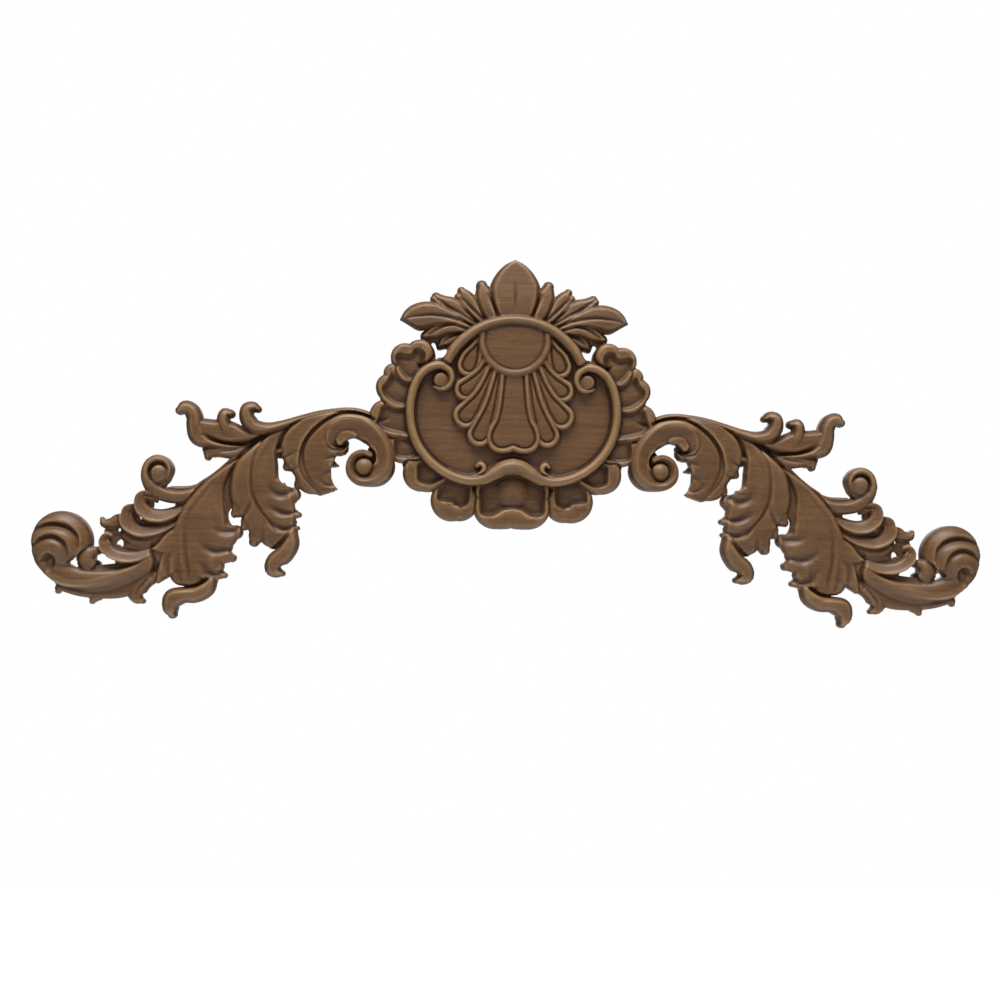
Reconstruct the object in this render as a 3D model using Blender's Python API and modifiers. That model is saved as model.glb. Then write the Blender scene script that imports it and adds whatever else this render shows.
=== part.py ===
"""Carved wood applique: a fluted shell cartouche between two wings of acanthus scrollwork.

Run it with blender --background --python part.py, or from Blender's text editor.

The piece is one relief on a flat back. Its carving is worked out as a height over the back at each point
of a grid, from strokes: leaves, bands, grooves and hollows that follow smooth curves. The right half is
carved and mirrored. Lengths here are millimetres and the mesh is in metres. The origin is on the flat
back, at the middle of the cartouche; +Z is up, and the carving faces -Y.

A row of a stroke is (x, z, half width, height), and a leaf may have (x, z, left half width, right half
width, height), left being the left of its direction of travel.
"""
import math

import bmesh
import bpy
import numpy as np

NAME = "carved_applique"

# Driving dimensions
HALF_WIDTH = 303.0        # how far the grid reaches to the side; the wing tip is at 300
TOP = 86.0                # how far the grid reaches up; the crest ends at 83
BOTTOM = -150.0           # how far the grid reaches down; the lowest curl ends at -147.6
CELL = 0.9                # spacing of the grid
GROUND = 3.5              # least thickness
WALL_SLOPE = 3.5          # fall of a stroke's flank outside its own edge, per millimetre
TRIANGLES = 9300          # size of the finished faceted solid

# Levels of the carving over the back
MOULDING = 18.2           # the round moulding about the shell field
FIELD = 11.0              # the sunk field of the shell
SHELL = 15.6              # rim of the middle flute, from which the others step down
ARCH_PLATE = 16.2         # the half round plate under the arch
PETAL_EDGE = 6.5          # rim of a petal at its outline
PETAL_SWELL = 1.3         # rise of a petal's floor from its rim to its middle
SWELL_REACH = 7.0         # distance over which that floor rises
STROKE_EDGE = 6.5         # rim of a round band at its outline
BALL = 18.0               # crown of the ball at the wing's tip
WEB = 7.0                 # plain ground between the carved parts

# Arc of the arch moulding and of what lies inside it
ARCH_Z = -3.5
ARCH_RADIUS = 47.2
ARCH_PLATE_RADIUS = 22.8
FLUTE_LIMIT = (0.0, -3.8, 44.5)


def smooth_max(first, second, blend):
    """The larger of two heights, with their meeting rounded over the given blend."""
    near = np.clip(blend - np.abs(first - second), 0, None) / blend
    return np.maximum(first, second) + near * near * blend / 4


def curve(rows, step=1.2):
    """A smooth centripetal curve through the rows, as closely spaced rows."""
    rows = np.asarray(rows, float)
    if len(rows) < 2:
        return np.vstack([rows, rows + 1e-3 * np.eye(1, rows.shape[1])])
    padded = np.vstack([2 * rows[0] - rows[1], rows, 2 * rows[-1] - rows[-2]])
    spans = []
    for i in range(1, len(padded) - 2):
        before, start, end, after = padded[i - 1:i + 3]
        count = max(2, math.ceil(np.hypot(*(end - start)[:2]) / step))
        t = np.linspace(0, 1, count, endpoint=False)[:, None]
        knot_in, knot, knot_out = (max(np.hypot(*gap[:2]), 1e-3) ** 0.5
                                   for gap in (start - before, end - start, after - end))
        leave = ((start - before) / knot_in - (end - before) / (knot_in + knot) + (end - start) / knot) * knot
        arrive = ((end - start) / knot - (after - start) / (knot + knot_out)
                  + (after - end) / knot_out) * knot
        spans.append((2 * t**3 - 3 * t**2 + 1) * start + (t**3 - 2 * t**2 + t) * leave
                     + (3 * t**2 - 2 * t**3) * end + (t**3 - t**2) * arrive)
    return np.vstack(spans + [rows[-1:]])


def with_length(rows):
    """The rows with their length along the curve as a last column."""
    steps = np.hypot(*np.diff(rows[:, :2], axis=0).T)
    return np.column_stack([rows, np.concatenate([[0], np.cumsum(steps)])])


class Relief:
    """The carving on a grid: height over the back, and distance inside the outline."""

    def __init__(self, cell):
        self.cell = cell
        self.xs = np.arange(0, HALF_WIDTH + cell / 2, cell)
        self.zs = np.arange(BOTTOM, TOP + cell / 2, cell)
        self.x, self.z = np.meshgrid(self.xs, self.zs)
        self.height = np.full(self.x.shape, -20.0)
        self.inside = np.full(self.x.shape, -20.0)

    def window(self, rows, reach):
        """The part of the grid within reach of the rows."""
        left, right = np.searchsorted(self.xs, [rows[:, 0].min() - reach, rows[:, 0].max() + reach])
        low, high = np.searchsorted(self.zs, [rows[:, 1].min() - reach, rows[:, 1].max() + reach])
        return slice(low, high), slice(left, right)

    def nearest(self, rows, window):
        """Distance to the curve, the side (+1 left of travel) and the row's values at the nearest point."""
        x, z = self.x[window], self.z[window]
        starts, ends = rows[:-1], rows[1:]
        steps = (ends - starts)[:, :2]
        squares = np.maximum((steps ** 2).sum(1), 1e-12)
        best, along, segment, side = (np.full(x.shape, value) for value in (1e9, 0.0, 0.0, 0.0))
        for k, (start, step, square) in enumerate(zip(starts, steps, squares)):
            ux, uz = x - start[0], z - start[1]
            t = np.clip((ux * step[0] + uz * step[1]) / square, 0, 1)
            distance = (ux - t * step[0]) ** 2 + (uz - t * step[1]) ** 2
            closer = distance < best
            best = np.where(closer, distance, best)
            along = np.where(closer, t, along)
            segment = np.where(closer, k, segment)
            side = np.where(closer, step[0] * uz - step[1] * ux, side)
        segment = segment.astype(int)
        values = starts[segment] + (ends - starts)[segment] * along[..., None]
        return np.sqrt(best), np.sign(side), values

    def lay(self, window, inside, height, over, blend=0.4, within=False):
        """Adds a stroke; with over, a share from 0 to 1, it replaces what lies under it.

        With within it shapes only what is there, and leaves the outline as it is.
        """
        height = height + np.minimum(inside, 0) * WALL_SLOPE
        merged = smooth_max(self.height[window], height, blend)
        if np.any(over):
            cover = np.clip(inside / 0.6, 0, 1) * over
            merged = np.where(inside > 0, height * cover + merged * (1 - cover), merged)
        self.height[window] = merged
        if not within:
            self.inside[window] = np.maximum(self.inside[window], inside)

    def leaf(self, rows, arch=1.5, drop=2.0, bevel=2.5, fall=2.0, tilt=0.0, vein=0.0, vein_width=1.2,
             plain=0, over=False, within=False, fade=0.0):
        """A leaf blade: arched across, with a bevelled edge and, where asked, a vein along the middle.

        Its plain side, +1 for left and -1 for right, keeps its full height out to the edge. It grows out of
        what it starts in over the length of its fade.
        """
        rows = np.asarray(rows, float)
        if rows.shape[1] == 4:
            rows = rows[:, [0, 1, 2, 2, 3]]
        rows = with_length(curve(rows))
        window = self.window(rows, rows[:, 2:4].max() + 6)
        distance, side, values = self.nearest(rows, window)
        if fade:
            over = np.clip(values[..., -1] / fade, 0, 1)
        width = np.maximum(np.where(side >= 0, values[..., 2], values[..., 3]), 0.05)
        inside = width - distance
        across = np.minimum(distance / width, 1)
        edge = drop * (1 - np.clip(inside / bevel, 0, 1)) ** fall
        crease = vein * np.exp(-(distance / vein_width) ** 2)
        fallen = np.where(side == plain, 0,
                          arch * across ** 2 + edge) if plain else arch * across ** 2 + edge
        height = values[..., 4] + tilt * side * across - fallen - crease
        self.lay(window, inside, height, over, within=within)

    def band(self, rows, edge=STROKE_EDGE, power=0.6, over=False, blend=0.4, fade=0.0):
        """A round-backed band: its crest is at the row's height, and its rim at the edge level."""
        rows = with_length(curve(rows))
        window = self.window(rows, rows[:, 2].max() + 6)
        distance, _, values = self.nearest(rows, window)
        if fade:
            over = np.clip(values[..., -1] / fade, 0, 1)
        width, crest = np.maximum(values[..., 2], 0.05), values[..., 3]
        rim = np.minimum(edge, crest)
        across = np.clip(distance / width, 0, 1)
        self.lay(window, width - distance, rim + (crest - rim) * (1 - across ** 2) ** power, over, blend)

    def web(self, rows):
        """Plain ground between the carved parts; its rows are (x, z, half width)."""
        self.leaf([(x, z, width, WEB) for x, z, width in rows], arch=0, drop=0)

    def patch(self, rounds, profile, over=True, limit=None, spine=None, melt=0.01):
        """A lobed patch, the union of rounds (x, z, radius) and of a tapering spine, shaped by its profile.

        The spine melts into the rounds over the given length.
        """
        rounds = np.asarray(rounds, float).reshape(-1, 3)
        path = curve(spine) if spine else rounds
        both = np.vstack([rounds, path[:, :3]])
        window = self.window(both, both[:, 2].max() + 6)
        x, z = self.x[window], self.z[window]
        inside = np.full(x.shape, -1e3)
        for cx, cz, radius in rounds:
            inside = np.maximum(inside, radius - np.hypot(x - cx, z - cz))
        if spine:
            distance, _, values = self.nearest(path, window)
            inside = smooth_max(inside, values[..., 2] - distance, melt)
        if limit:
            inside = np.minimum(inside, limit[2] - np.hypot(x - limit[0], z - limit[1]))
        self.lay(window, inside, profile(np.maximum(inside, 0)), over)

    def groove(self, rows, wider=1.0):
        """Cuts a groove with a bell section; its rows are (x, z, width, depth). Its right can be wider."""
        rows = curve(rows)
        window = self.window(rows, 3 * wider * rows[:, 2].max() + 1)
        distance, side, values = self.nearest(rows, window)
        width = values[..., 2] * np.where(side < 0, wider, 1)
        self.height[window] -= values[..., 3] * np.exp(-(distance / width) ** 2)

    def hollow(self, outline, depth, soft):
        """Scoops a bowl inside a closed curve: a wall over the length soft, and a floor that swells."""
        rows = curve([*outline, outline[0]])
        window = self.window(rows, 1)
        x, z = self.x[window], self.z[window]
        inside = np.zeros(x.shape, bool)
        for (x0, z0), (x1, z1) in zip(rows[:-1], rows[1:]):
            if z0 != z1:
                inside ^= ((z0 > z) != (z1 > z)) & (x < x0 + (z - z0) * (x1 - x0) / (z1 - z0))
        distance = self.nearest(rows, window)[0]
        wall = 1 - np.clip(distance / soft, 0, 1)
        floor = np.clip((distance - 0.8 * soft) / SWELL_REACH, 0, 1)
        sunk = depth * (1 - wall ** 2) - PETAL_SWELL * floor * (2 - floor)
        self.height[window] -= np.where(inside, sunk, 0)

    def slot(self, rows):
        """Pierces the piece along rows of (x, z, half width)."""
        rows = curve(rows, 0.8)
        window = self.window(rows, rows[:, 2].max() + 4)
        distance, _, values = self.nearest(rows, window)
        self.inside[window] = np.minimum(self.inside[window], distance - values[..., 2])


def flat(level):
    """A level patch."""
    return lambda inside: level + 0 * inside


def petal_rim(rim, width):
    """A petal's rounded rim: it rises from the outline over the given width."""
    def profile(inside):
        away = 1 - np.clip(inside / width, 0, 1)
        return PETAL_EDGE + (rim - PETAL_EDGE) * np.sqrt(1 - away ** 2)
    return profile


def flute_profile(rim, wall=3.6):
    """A flute: a rounded wall, a fine groove inside it and a flat panel sunk a little below the rim."""
    def profile(inside):
        bead = (rim - 2.2 * (1 - np.clip(inside / 1.6, 0, 1)) ** 2
                - 0.8 * np.clip((inside - 1.6) / 1.6, 0, 1) ** 2)
        panel = rim - 1.2 + 0.25 * np.clip((inside - wall) / 3, 0, 1)
        blend = np.clip((inside - wall + 0.5) / 0.8, 0, 1)
        return bead * (1 - blend) + panel * blend - 1.6 * np.exp(-((inside - wall) / 0.55) ** 2)
    return profile


def plate_profile(inside):
    """The half round plate under the arch: a bevelled collar, a fine groove and a flat panel."""
    collar = ARCH_PLATE - 1.8 * (1 - np.clip(inside / 1.8, 0, 1)) ** 2
    panel = ARCH_PLATE - 1.0 + 0.3 * np.clip((inside - 5.5) / 8, 0, 1)
    blend = np.clip((inside - 4.0) / 0.8, 0, 1)
    return collar * (1 - blend) + panel * blend - 1.6 * np.exp(-((inside - 4.2) / 0.65) ** 2)


def carve_petals(relief):
    """The ground of the cartouche and the petals about it, the lowest first."""
    ground = [(0, -4, 46), (27, -19, 38), (24, -12, 39), (62, -20, 20), (55, -45, 15), (35, -62, 15),
              (10, -68, 16), (66, 5, 10), (68, 15, 8)]
    relief.patch(ground, flat(6.0), over=False)
    petals = [
        ([(38, -70.5, 13.4), (33, -71.7, 12), (36, -60, 12)], 12.4, 3.5, 3.2,
         [(26, -60.5), (26.6, -69), (27.6, -73.1), (30.4, -75.2), (35.6, -76), (38, -73), (42.6, -72.2),
          (47, -71.4), (47.8, -66.3), (44, -58), (34, -56)]),
        ([(57.5, -53.5, 11.8), (53.5, -54, 11.6), (49, -51, 11)], 12.6, 3.6, 3.2,
         [(41, -56), (43.6, -52), (48, -48), (54.3, -45.4), (60, -47.6), (60.7, -53.9), (60, -59.2),
          (56, -61.3), (51, -61.6), (46, -59)]),
        ([(70, -38.3, 9.2), (62, -37.5, 9.5)], 12.8, 3.5, 3.0,
         [(58, -43.6), (60, -34), (66, -31), (74.5, -31.6), (75.6, -38), (73.8, -44.2), (67.8, -45.4)]),
        ([(81, -17.5, 9.8), (75.5, -20, 12.8), (67, -21.5, 11)], 13.2, 3.6, 3.4,
         [(62, -20), (65, -12.4), (72, -11.6), (78.4, -9.6), (83.4, -12.4), (85, -17), (86.6, -22),
          (85.8, -25), (82, -27.4), (74.9, -29.4), (64, -30)]),
        ([(76, 9, 6.5), (78.5, 0.3, 8.7), (73, -2.5, 12.2), (67, -2, 12)], 13.6, 3.8, 3.4,
         [(62, -6), (64, 2), (70, 6), (74.6, 8.6), (77.6, 9.2), (78.6, 7.4), (80.6, 3.6), (83.4, 0.4),
          (83.8, -2.8), (82, -6.6), (78.6, -9.4), (74.9, -11.6), (70.7, -12.5), (64, -13)]),
        ([(60, 22, 8.7), (69, 19.3, 9.1), (67, 11, 8.5), (64, 8, 6)], 14.0, 3.6, 3.4,
         [(55.6, 16.4), (56.2, 22), (59.6, 25), (63.2, 24.6), (65.8, 21.4), (69, 21.4), (72.4, 22.2),
          (75.6, 20), (75.8, 16.6), (74.8, 12.6), (72.2, 8.8), (69.2, 5.4), (66.2, 3.6), (61.6, 5),
          (56.6, 10)]),
        ([(4, -76, 12.2), (7, -75.2, 13.2), (10.5, -74.5, 13.8), (11.5, -64, 12.5), (0, -66, 14)],
         13.4, 5.0, 3.6,
         [(0, -76.2), (5, -77), (8.8, -79.2), (12.4, -80.9), (17, -81), (20.6, -79), (21.4, -71.7),
          (21.4, -63), (17, -57), (0, -54), (-17, -57), (-21.4, -63), (-21.4, -71.7), (-20.6, -79),
          (-17, -81), (-12.4, -80.9), (-8.8, -79.2), (-5, -77)]),
    ]
    for outline, rim, depth, soft, bowl in petals:
        relief.patch(outline, petal_rim(rim, 3.2))
        relief.hollow(bowl, depth, soft)
    relief.band([(0, -64.8, 10.4, 13.2)], edge=9.2, power=0.8)
    relief.groove([(78, -19.4, 1, 0.5), (81.9, -20.4, 1.3, 1.7), (85, -21.6, 1.1, 1.6),
                   (85.8, -23.6, 0.8, 0.6)])
    relief.band([(77.3, -34, 1.7, 13), (77.2, -40.5, 2.0, 13.4), (75.6, -45, 1.6, 12.6)], edge=9)
    relief.band([(33, -79, 3, 13.0), (35.8, -77.6, 3.4, 13.4), (38, -76.8, 3, 13.0)], edge=12)


def carve_crest(relief):
    """The fan of leaves over the arch, from its outer leaves to the middle one."""
    relief.web([(52, 31, 3.4), (55.5, 29.5, 2.8), (53.2, 24, 2.8), (52.4, 18.2, 2.6), (57, 14, 2.8),
                (62, 8, 2.8)])
    leaves = [
        [(24, 41, 5, 5, 13), (32, 45.5, 6.5, 5, 12.5), (40, 51, 7.6, 5, 11.5), (46, 55, 5.2, 4.6, 10.5),
         (50, 58.6, 2.9, 2.9, 9.5)],
        [(28, 38.5, 3, 3, 13), (40, 44, 6, 5, 13), (52, 46.5, 8.6, 8, 12), (62, 46, 8, 8.9, 10.8),
         (68, 45, 5, 4.8, 10), (72.4, 43.8, 0.4, 0.4, 9)],
        [(30, 36, 3, 3, 12.5), (42, 38, 5, 5, 11.8), (50, 35.8, 5.3, 5.3, 10.8), (56, 33.2, 3.6, 3.6, 9)],
        [(30, 33, 3, 3, 12), (38, 31.5, 5, 5, 11), (44, 29.8, 4.9, 4.9, 10), (47.2, 27.6, 2.8, 2.8, 8.5)],
    ]
    for rows in leaves:
        relief.leaf(rows, arch=1.0, drop=3.8, bevel=3.2, fall=1.2)
    over_leaves = [
        [(18, 42, 5, 13.5), (24, 48, 5, 13), (28.5, 54, 6, 12), (32, 59.5, 4.6, 11), (34, 62.6, 2.7, 10)],
        [(12, 42, 6, 14), (17, 52, 6.2, 13.5), (19.5, 60, 6, 12.3), (21.2, 66, 3.6, 10.8)],
    ]
    tips = [[(31, 52, 4, 11.5), (35.6, 58.4, 2.9, 10)], [(48, 53.5, 3, 10.5), (51.4, 57, 2.4, 9.3)]]
    relief.leaf(over_leaves[0], arch=1.2, drop=3.2, bevel=3.0, fall=1.2, over=True)
    for rows in tips:
        relief.leaf(rows, arch=1, drop=2.5)
    relief.leaf(over_leaves[1], arch=1.2, drop=3.2, bevel=3.0, fall=1.2, over=True)
    middle = [(-1, 38, 10, 15), (0, 46, 12, 14.5), (0, 55, 15, 14), (0, 62, 16, 13), (0, 67, 15.6, 12.3),
              (0, 72, 13.2, 11.5), (0, 76.5, 10, 10.8), (0, 81, 4.8, 10), (0, 83, 0.3, 9.5)]
    relief.leaf(middle, arch=0.5, drop=4.2, bevel=3.4, fall=1.2, over=True)
    veins = [
        [(0, 49, 0.5, 0.2), (0, 53, 0.7, 1.2), (0, 60, 0.7, 1.3), (0, 67, 0.5, 0.5)],
        [(11.5, 47, 0.9, 1.5), (14, 53.5, 1.0, 2.2), (16.7, 60, 0.8, 0.8)],
        [(19, 43, 1.2, 2), (23.5, 47, 1.0, 2), (28, 51.5, 1.0, 2.2), (33.5, 57, 0.8, 0.7)],
        [(24, 41, 1.2, 2), (34, 47, 0.9, 1.4), (42, 51.5, 1.0, 2.0), (48.5, 56, 0.8, 0.7)],
        [(26, 39.5, 1.2, 2.2), (34, 42.8, 1.2, 2.2), (42, 45, 1.1, 2), (52, 46.3, 1.0, 2),
         (62, 45.5, 0.9, 1.6), (70, 43.8, 0.6, 0.6)],
        [(38, 40.5, 0.8, 1), (44, 39.8, 1.1, 2), (49.5, 37.2, 1.1, 2), (54, 34, 0.9, 1)],
        [(31, 35.3, 0.8, 1), (38, 33.9, 1.1, 1.8), (43, 31, 1.0, 1.5), (45, 29, 0.7, 0.6)],
    ]
    for rows in veins:
        relief.groove(rows)


def carve_shell(relief):
    """The sunk field, its flutes, and the half round plate under the arch."""
    relief.patch([(0, -4, 45.5), (27, -19, 37), (24.5, -12, 39), (0, -30, 20)], flat(FIELD))
    flutes = [
        ([(22.5, 30, 3.2), (24.5, 25, 5), (27, 19.5, 7.2), (28.8, 14.6, 7.6)], []),
        ([(17, 16, 4.5), (21, 9.5, 5), (25.5, 4, 6.4), (30.3, -0.7, 7.6)], []),
        ([(14, 12, 4.5), (18, 2, 5), (22, -6, 6), (26, -12, 7.4), (30, -17.2, 8.2)], []),
        ([(9, 12, 4.5), (11.5, 2, 4.8), (13.6, -8, 5.6), (16, -16, 6.5), (19, -23.5, 7.4),
          (21.3, -29, 7.9)], []),
        ([(0, 14, 9.2), (0, 6, 9.5), (0, -4, 10.3), (0, -11, 11), (0, -18, 12.4), (0, -24, 14.2)],
         [(7.4, -31, 9.8)]),
    ]
    for place, (spine, rounds) in enumerate(flutes):
        rim = SHELL - 0.25 * (len(flutes) - 1 - place)
        relief.patch(rounds, flute_profile(rim), limit=FLUTE_LIMIT, spine=spine, melt=5.0)
    plate = [(0, z, ARCH_PLATE_RADIUS) for z in (30.7, 35, 40)]
    relief.patch(plate, plate_profile, limit=(0, ARCH_Z, ARCH_RADIUS + 2.8))


def carve_moulding(relief):
    """The arch over the shell, the C-shaped moulding that ends in a volute, and the volute's button."""
    arc = [(ARCH_RADIUS * math.sin(angle), ARCH_Z + ARCH_RADIUS * math.cos(angle), 3.5, 18.0)
           for angle in np.linspace(-0.05, 1.1, 14)]
    relief.band(arc, edge=11.5, over=True)
    scroll = [(50.5, 0.6, 0.8, 14.5), (46.8, -0.8, 1.3, 15.5), (42, 0.6, 1.8, 16.5), (39.6, 5, 2.2, 17),
              (41, 10.5, 2.6, 17.7), (46, 14, 2.8, MOULDING), (52, 13.2, 2.9, MOULDING),
              (58, 9, 2.9, MOULDING), (62, 2.5, 2.9, MOULDING), (64.5, -6, 2.9, MOULDING),
              (65.3, -15, 2.9, MOULDING), (64.4, -24, 2.9, 18), (61.7, -33, 2.9, 18), (57, -41, 2.9, 18),
              (50.5, -48, 2.9, 18), (42.5, -53.5, 3, 18), (34, -57, 3.1, 18), (26, -58.2, 3.4, 18),
              (18.5, -57, 3.8, 18), (11.5, -53.2, 4.4, 18.2), (5, -49.8, 5.1, 18.4), (-2, -48.8, 5.5, 18.5)]
    spur = [(26, -57, 2.4, 16.8), (21.5, -55.6, 2.5, 17), (18.6, -52.6, 2.4, 17), (18.6, -49.4, 2.1, 16.8),
            (20.7, -47.8, 1.8, 16.4), (22.5, -49.1, 1.3, 15.6)]
    relief.band(spur, edge=12)
    relief.band(scroll, edge=11.5, over=True)
    path = curve(scroll, 2.0)
    travel = np.gradient(path[:, :2], axis=0)
    travel /= np.linalg.norm(travel, axis=1, keepdims=True)
    outer = path[:, :2] + 3.4 * np.column_stack([travel[:, 1], -travel[:, 0]])
    relief.groove([(x, z, 0.7, 1.0) for x, z in outer[26:-26]])
    relief.band([(46, 5, 4.5, 16.4)], edge=14.0, power=0.35)


def carve_webs(relief):
    """Plain ground that joins the carved parts of the wing where they only touch."""
    webs = [
        [(88.5, -40, 3), (88, -46, 5)], [(93, -51, 8)], [(78, -33, 3)], [(88, -19.5, 2.6), (104, -18.5, 2)],
        [(90, -22, 2.5)], [(165, -36.5, 2), (174, -37.5, 2)], [(192.6, -41, 2.7)], [(244.5, -112.9, 1)],
        [(176.5, -73, 2.2)],
        [(143, -30, 2.5), (147, -39, 2.5), (146.5, -43.3, 2.7)],
        [(152, -31, 2), (160, -35.5, 3.2), (168, -41, 4), (176, -49, 3)],
        [(177, -54, 2), (178.5, -66, 3.5), (178.2, -74, 2.7), (178.8, -78, 2.4), (179.6, -83, 2),
         (178.6, -87.4, 2.3)], [(222.5, -56, 8)], [(220.4, -63.2, 3.4)],
        [(228.4, -76.5, 3.5)], [(209, -76.5, 2.4)], [(235, -83, 4.5)], [(247, -95.5, 3), (253, -93.6, 1.9)],
        [(250.5, -100, 3.2)], [(259.6, -114.5, 2.8)], [(137.6, -86, 2.3)],
        [(247.2, -93, 1.4), (253.5, -92.8, 1.3)], [(246, -113.3, 1.6)], [(221, -114, 4), (225, -120, 4)],
        [(205, -78, 2), (216, -87, 7), (228, -93, 12), (238, -98, 12.5), (244, -101, 9.5)],
    ]
    for rows in webs:
        relief.web(rows)


def carve_stem_and_ball(relief):
    """The lower stem, its fins, and the ball that it ends in."""
    relief.leaf([(222, -121, 3.5, 7.5), (232, -126, 4.5, 8), (245, -130.3, 5, 8), (258, -131.8, 4, 8),
                 (270, -130.6, 3.9, 8), (280, -128.5, 3.3, 7.5), (283.7, -129.5, 1.6, 7)],
                arch=0.6, drop=1.8)
    relief.leaf([(256, -131, 4, 8), (260.3, -134.6, 3.9, 7.5), (262, -137.6, 1.8, 6.5)], drop=1.5)
    relief.leaf([(281, -127, 4, 7.5), (283.3, -131.5, 1.8, 6.8)], drop=1.5)
    relief.leaf([(224, -121, 4, 8.2), (231, -126.5, 4.8, 8.6), (234.6, -132, 5.7, 8.6),
                 (233.6, -135.3, 3.9, 8), (230.6, -137, 1.8, 7.2)], arch=1.5, drop=2)
    relief.groove([(226, -121, 0.8, 0.8), (230.5, -126, 1, 1.5), (233.8, -131, 0.9, 1.2),
                   (234, -135, 0.6, 0.3)])
    relief.band([(214, -103, 2, 9), (222, -109, 4.2, 10), (231, -115.2, 6.2, 11.2), (242, -120, 7.4, 12),
                 (254, -122.8, 8.4, 13), (266, -123.5, 8.5, 13.5), (277, -120.5, 8.4, 14),
                 (286, -114.5, 8.4, 14.5), (291, -106, 8.6, 15)], power=0.7)
    relief.band([(224, -108, 1.6, 10), (235, -116, 2.6, 11.6), (245, -121, 3, 12.8),
                 (257, -124.5, 3.2, 13.8), (270, -126, 3.2, 14), (280, -124.5, 3.2, 14),
                 (288, -119, 2.6, 13.5)], edge=10, blend=1.0)
    relief.groove([(226, -106.5, 1.2, 0.8), (235, -113, 1.5, 2), (245, -116.2, 1.6, 2.2),
                   (258, -117.6, 1.4, 1.8), (268, -117.5, 1.2, 1)])
    relief.groove([(240, -124.5, 1, 0.6), (255, -128.8, 1.2, 1.4), (270, -130, 1.1, 1.3),
                   (282, -127.5, 0.9, 0.6)])
    relief.band([(281, -100.4, 19.0, BALL)], edge=WEB, power=0.55)
    relief.band([(283, -103, 17, 16.5), (284, -107, 14.8, 15)], edge=WEB, power=0.55)
    relief.band([(264.8, -117.6, 3.4, 12), (264.7, -114, 5.3, 13.4), (265, -110.9, 5.8, 14),
                 (262.8, -107.4, 4.2, 13.2), (260.4, -106, 2.6, 11.8)], edge=9.5, fade=2)
    relief.leaf([(255.5, -105.2, 1.9, 6.5), (260, -106, 2.7, 6.5)], arch=0.5, drop=1)
    relief.groove([(270, -104, 1, 1.4), (271, -97, 1.1, 3), (276, -91.9, 1.2, 4), (283, -89.8, 1.2, 4.2),
                   (290, -90.2, 1.1, 3.6), (297.5, -93, 0.9, 2)], wider=2.8)
    relief.groove([(276, -108, 1, 1.4), (278.3, -101.5, 1.1, 3), (283, -97.9, 1.1, 3.8),
                   (288, -97.2, 1.1, 3.8), (293, -98.8, 1, 3.2), (298, -102.5, 0.8, 1.6)], wider=2.6)
    relief.groove([(284.6, -115.4, 0.9, 1.6), (285, -110.8, 1.1, 3.2), (288.3, -109, 1.2, 3.6),
                   (291.4, -110.6, 1.2, 2.2)], wider=2.2)
    relief.groove([(285.5, -119, 2.2, 0.6), (287.6, -115.6, 2.6, 2.0), (289, -112.4, 2.2, 2.0)])


def carve_feathers(relief):
    """The five feathers between the outer leaf and the ball, from the lowest up."""
    feathers = [
        [(220, -103, 2, 8.5), (229, -107.6, 3, 9.6), (238, -109.5, 3.4, 10.5), (246, -108.6, 3.6, 11),
         (252, -105, 3.8, 11.2), (254, -100, 3.6, 11), (252.7, -97, 2.7, 9.4), (250.3, -97, 1.7, 8)],
        [(216, -94, 2, 8.2), (226, -99.3, 2.8, 9.2), (236, -99.7, 3, 9.6), (242, -96, 2.2, 8.8)],
        [(222, -101, 1.8, 8), (232, -103.2, 2.2, 8.6), (240, -102.5, 1.8, 8)],
        [(210, -86, 2.5, 8), (219, -91.5, 3.2, 9.3), (229, -93.4, 3.4, 10.2), (236.3, -91, 3.6, 10.8),
         (240.2, -86, 3.7, 11), (240, -80.5, 3.5, 9.6), (237, -79, 2.9, 8.6)],
        [(204, -76, 2.5, 8.5), (212, -81.3, 3.7, 9.5), (220, -83.1, 3.9, 10.3), (227.3, -81.8, 3.9, 11),
         (231.8, -77.5, 3.9, 11.3), (232, -72.5, 3.8, 11.3), (229.2, -70.7, 2.9, 10.8),
         (225.5, -72.6, 2.2, 8.8), (223.4, -74.2, 1.1, 7.5)],
    ]
    for rows in feathers:
        relief.band(rows)
    lips = [
        [(220, -104.6, 3.6, 0.8, 9), (226.4, -107.9, 4.6, 1.2, 10), (232.9, -110.5, 5.2, 1.5, 10.8),
         (241, -111.4, 5.4, 1.7, 11.4), (249, -109.8, 5.6, 1.8, 11.8), (254.4, -106, 5.6, 1.8, 12),
         (257, -101.2, 5, 1.6, 12), (256, -97.4, 3.6, 1.5, 11.4), (253.4, -95.8, 2.4, 1.4, 10.8),
         (251, -96.4, 1.6, 1.2, 10)],
        [(210, -87.6, 3.4, 0.8, 8.8), (217, -92, 4.8, 1.2, 9.8), (224.7, -94.6, 5.6, 1.4, 10.6),
         (232.7, -95.3, 6, 1.5, 11), (239.6, -92.6, 6.2, 1.5, 11.6), (243.4, -88.6, 6.2, 1.4, 11.9),
         (244, -84, 5.8, 1.3, 12), (242.6, -79.8, 4.6, 1.3, 11.6), (239.5, -77.6, 3, 1.3, 11)],
        [(205, -77.8, 3.4, 0.8, 9.2), (212, -83.2, 5.2, 1.2, 10.4), (220, -86, 6.2, 1.2, 11.2),
         (227.6, -85.2, 6.4, 1.3, 11.8), (233, -81.4, 6.6, 1.3, 12.2), (235, -76.8, 6.2, 1.3, 12.4),
         (234, -71.6, 5, 1.3, 12.2), (230.8, -68.9, 3.2, 1.2, 11.4), (227, -69.8, 2, 1.2, 10.6)],
    ]
    for rows in lips:
        relief.leaf(rows, arch=0.4, tilt=-2.0, drop=1.6, bevel=1.2, over=True, within=True)
    relief.leaf([(238, -89, 3.5, 9.5), (246, -87, 4.4, 10), (251, -88.7, 3.3, 9.5), (255.3, -88.4, 2.9, 9),
                 (256.8, -86, 1.5, 8)], arch=1.5, drop=2)


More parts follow.
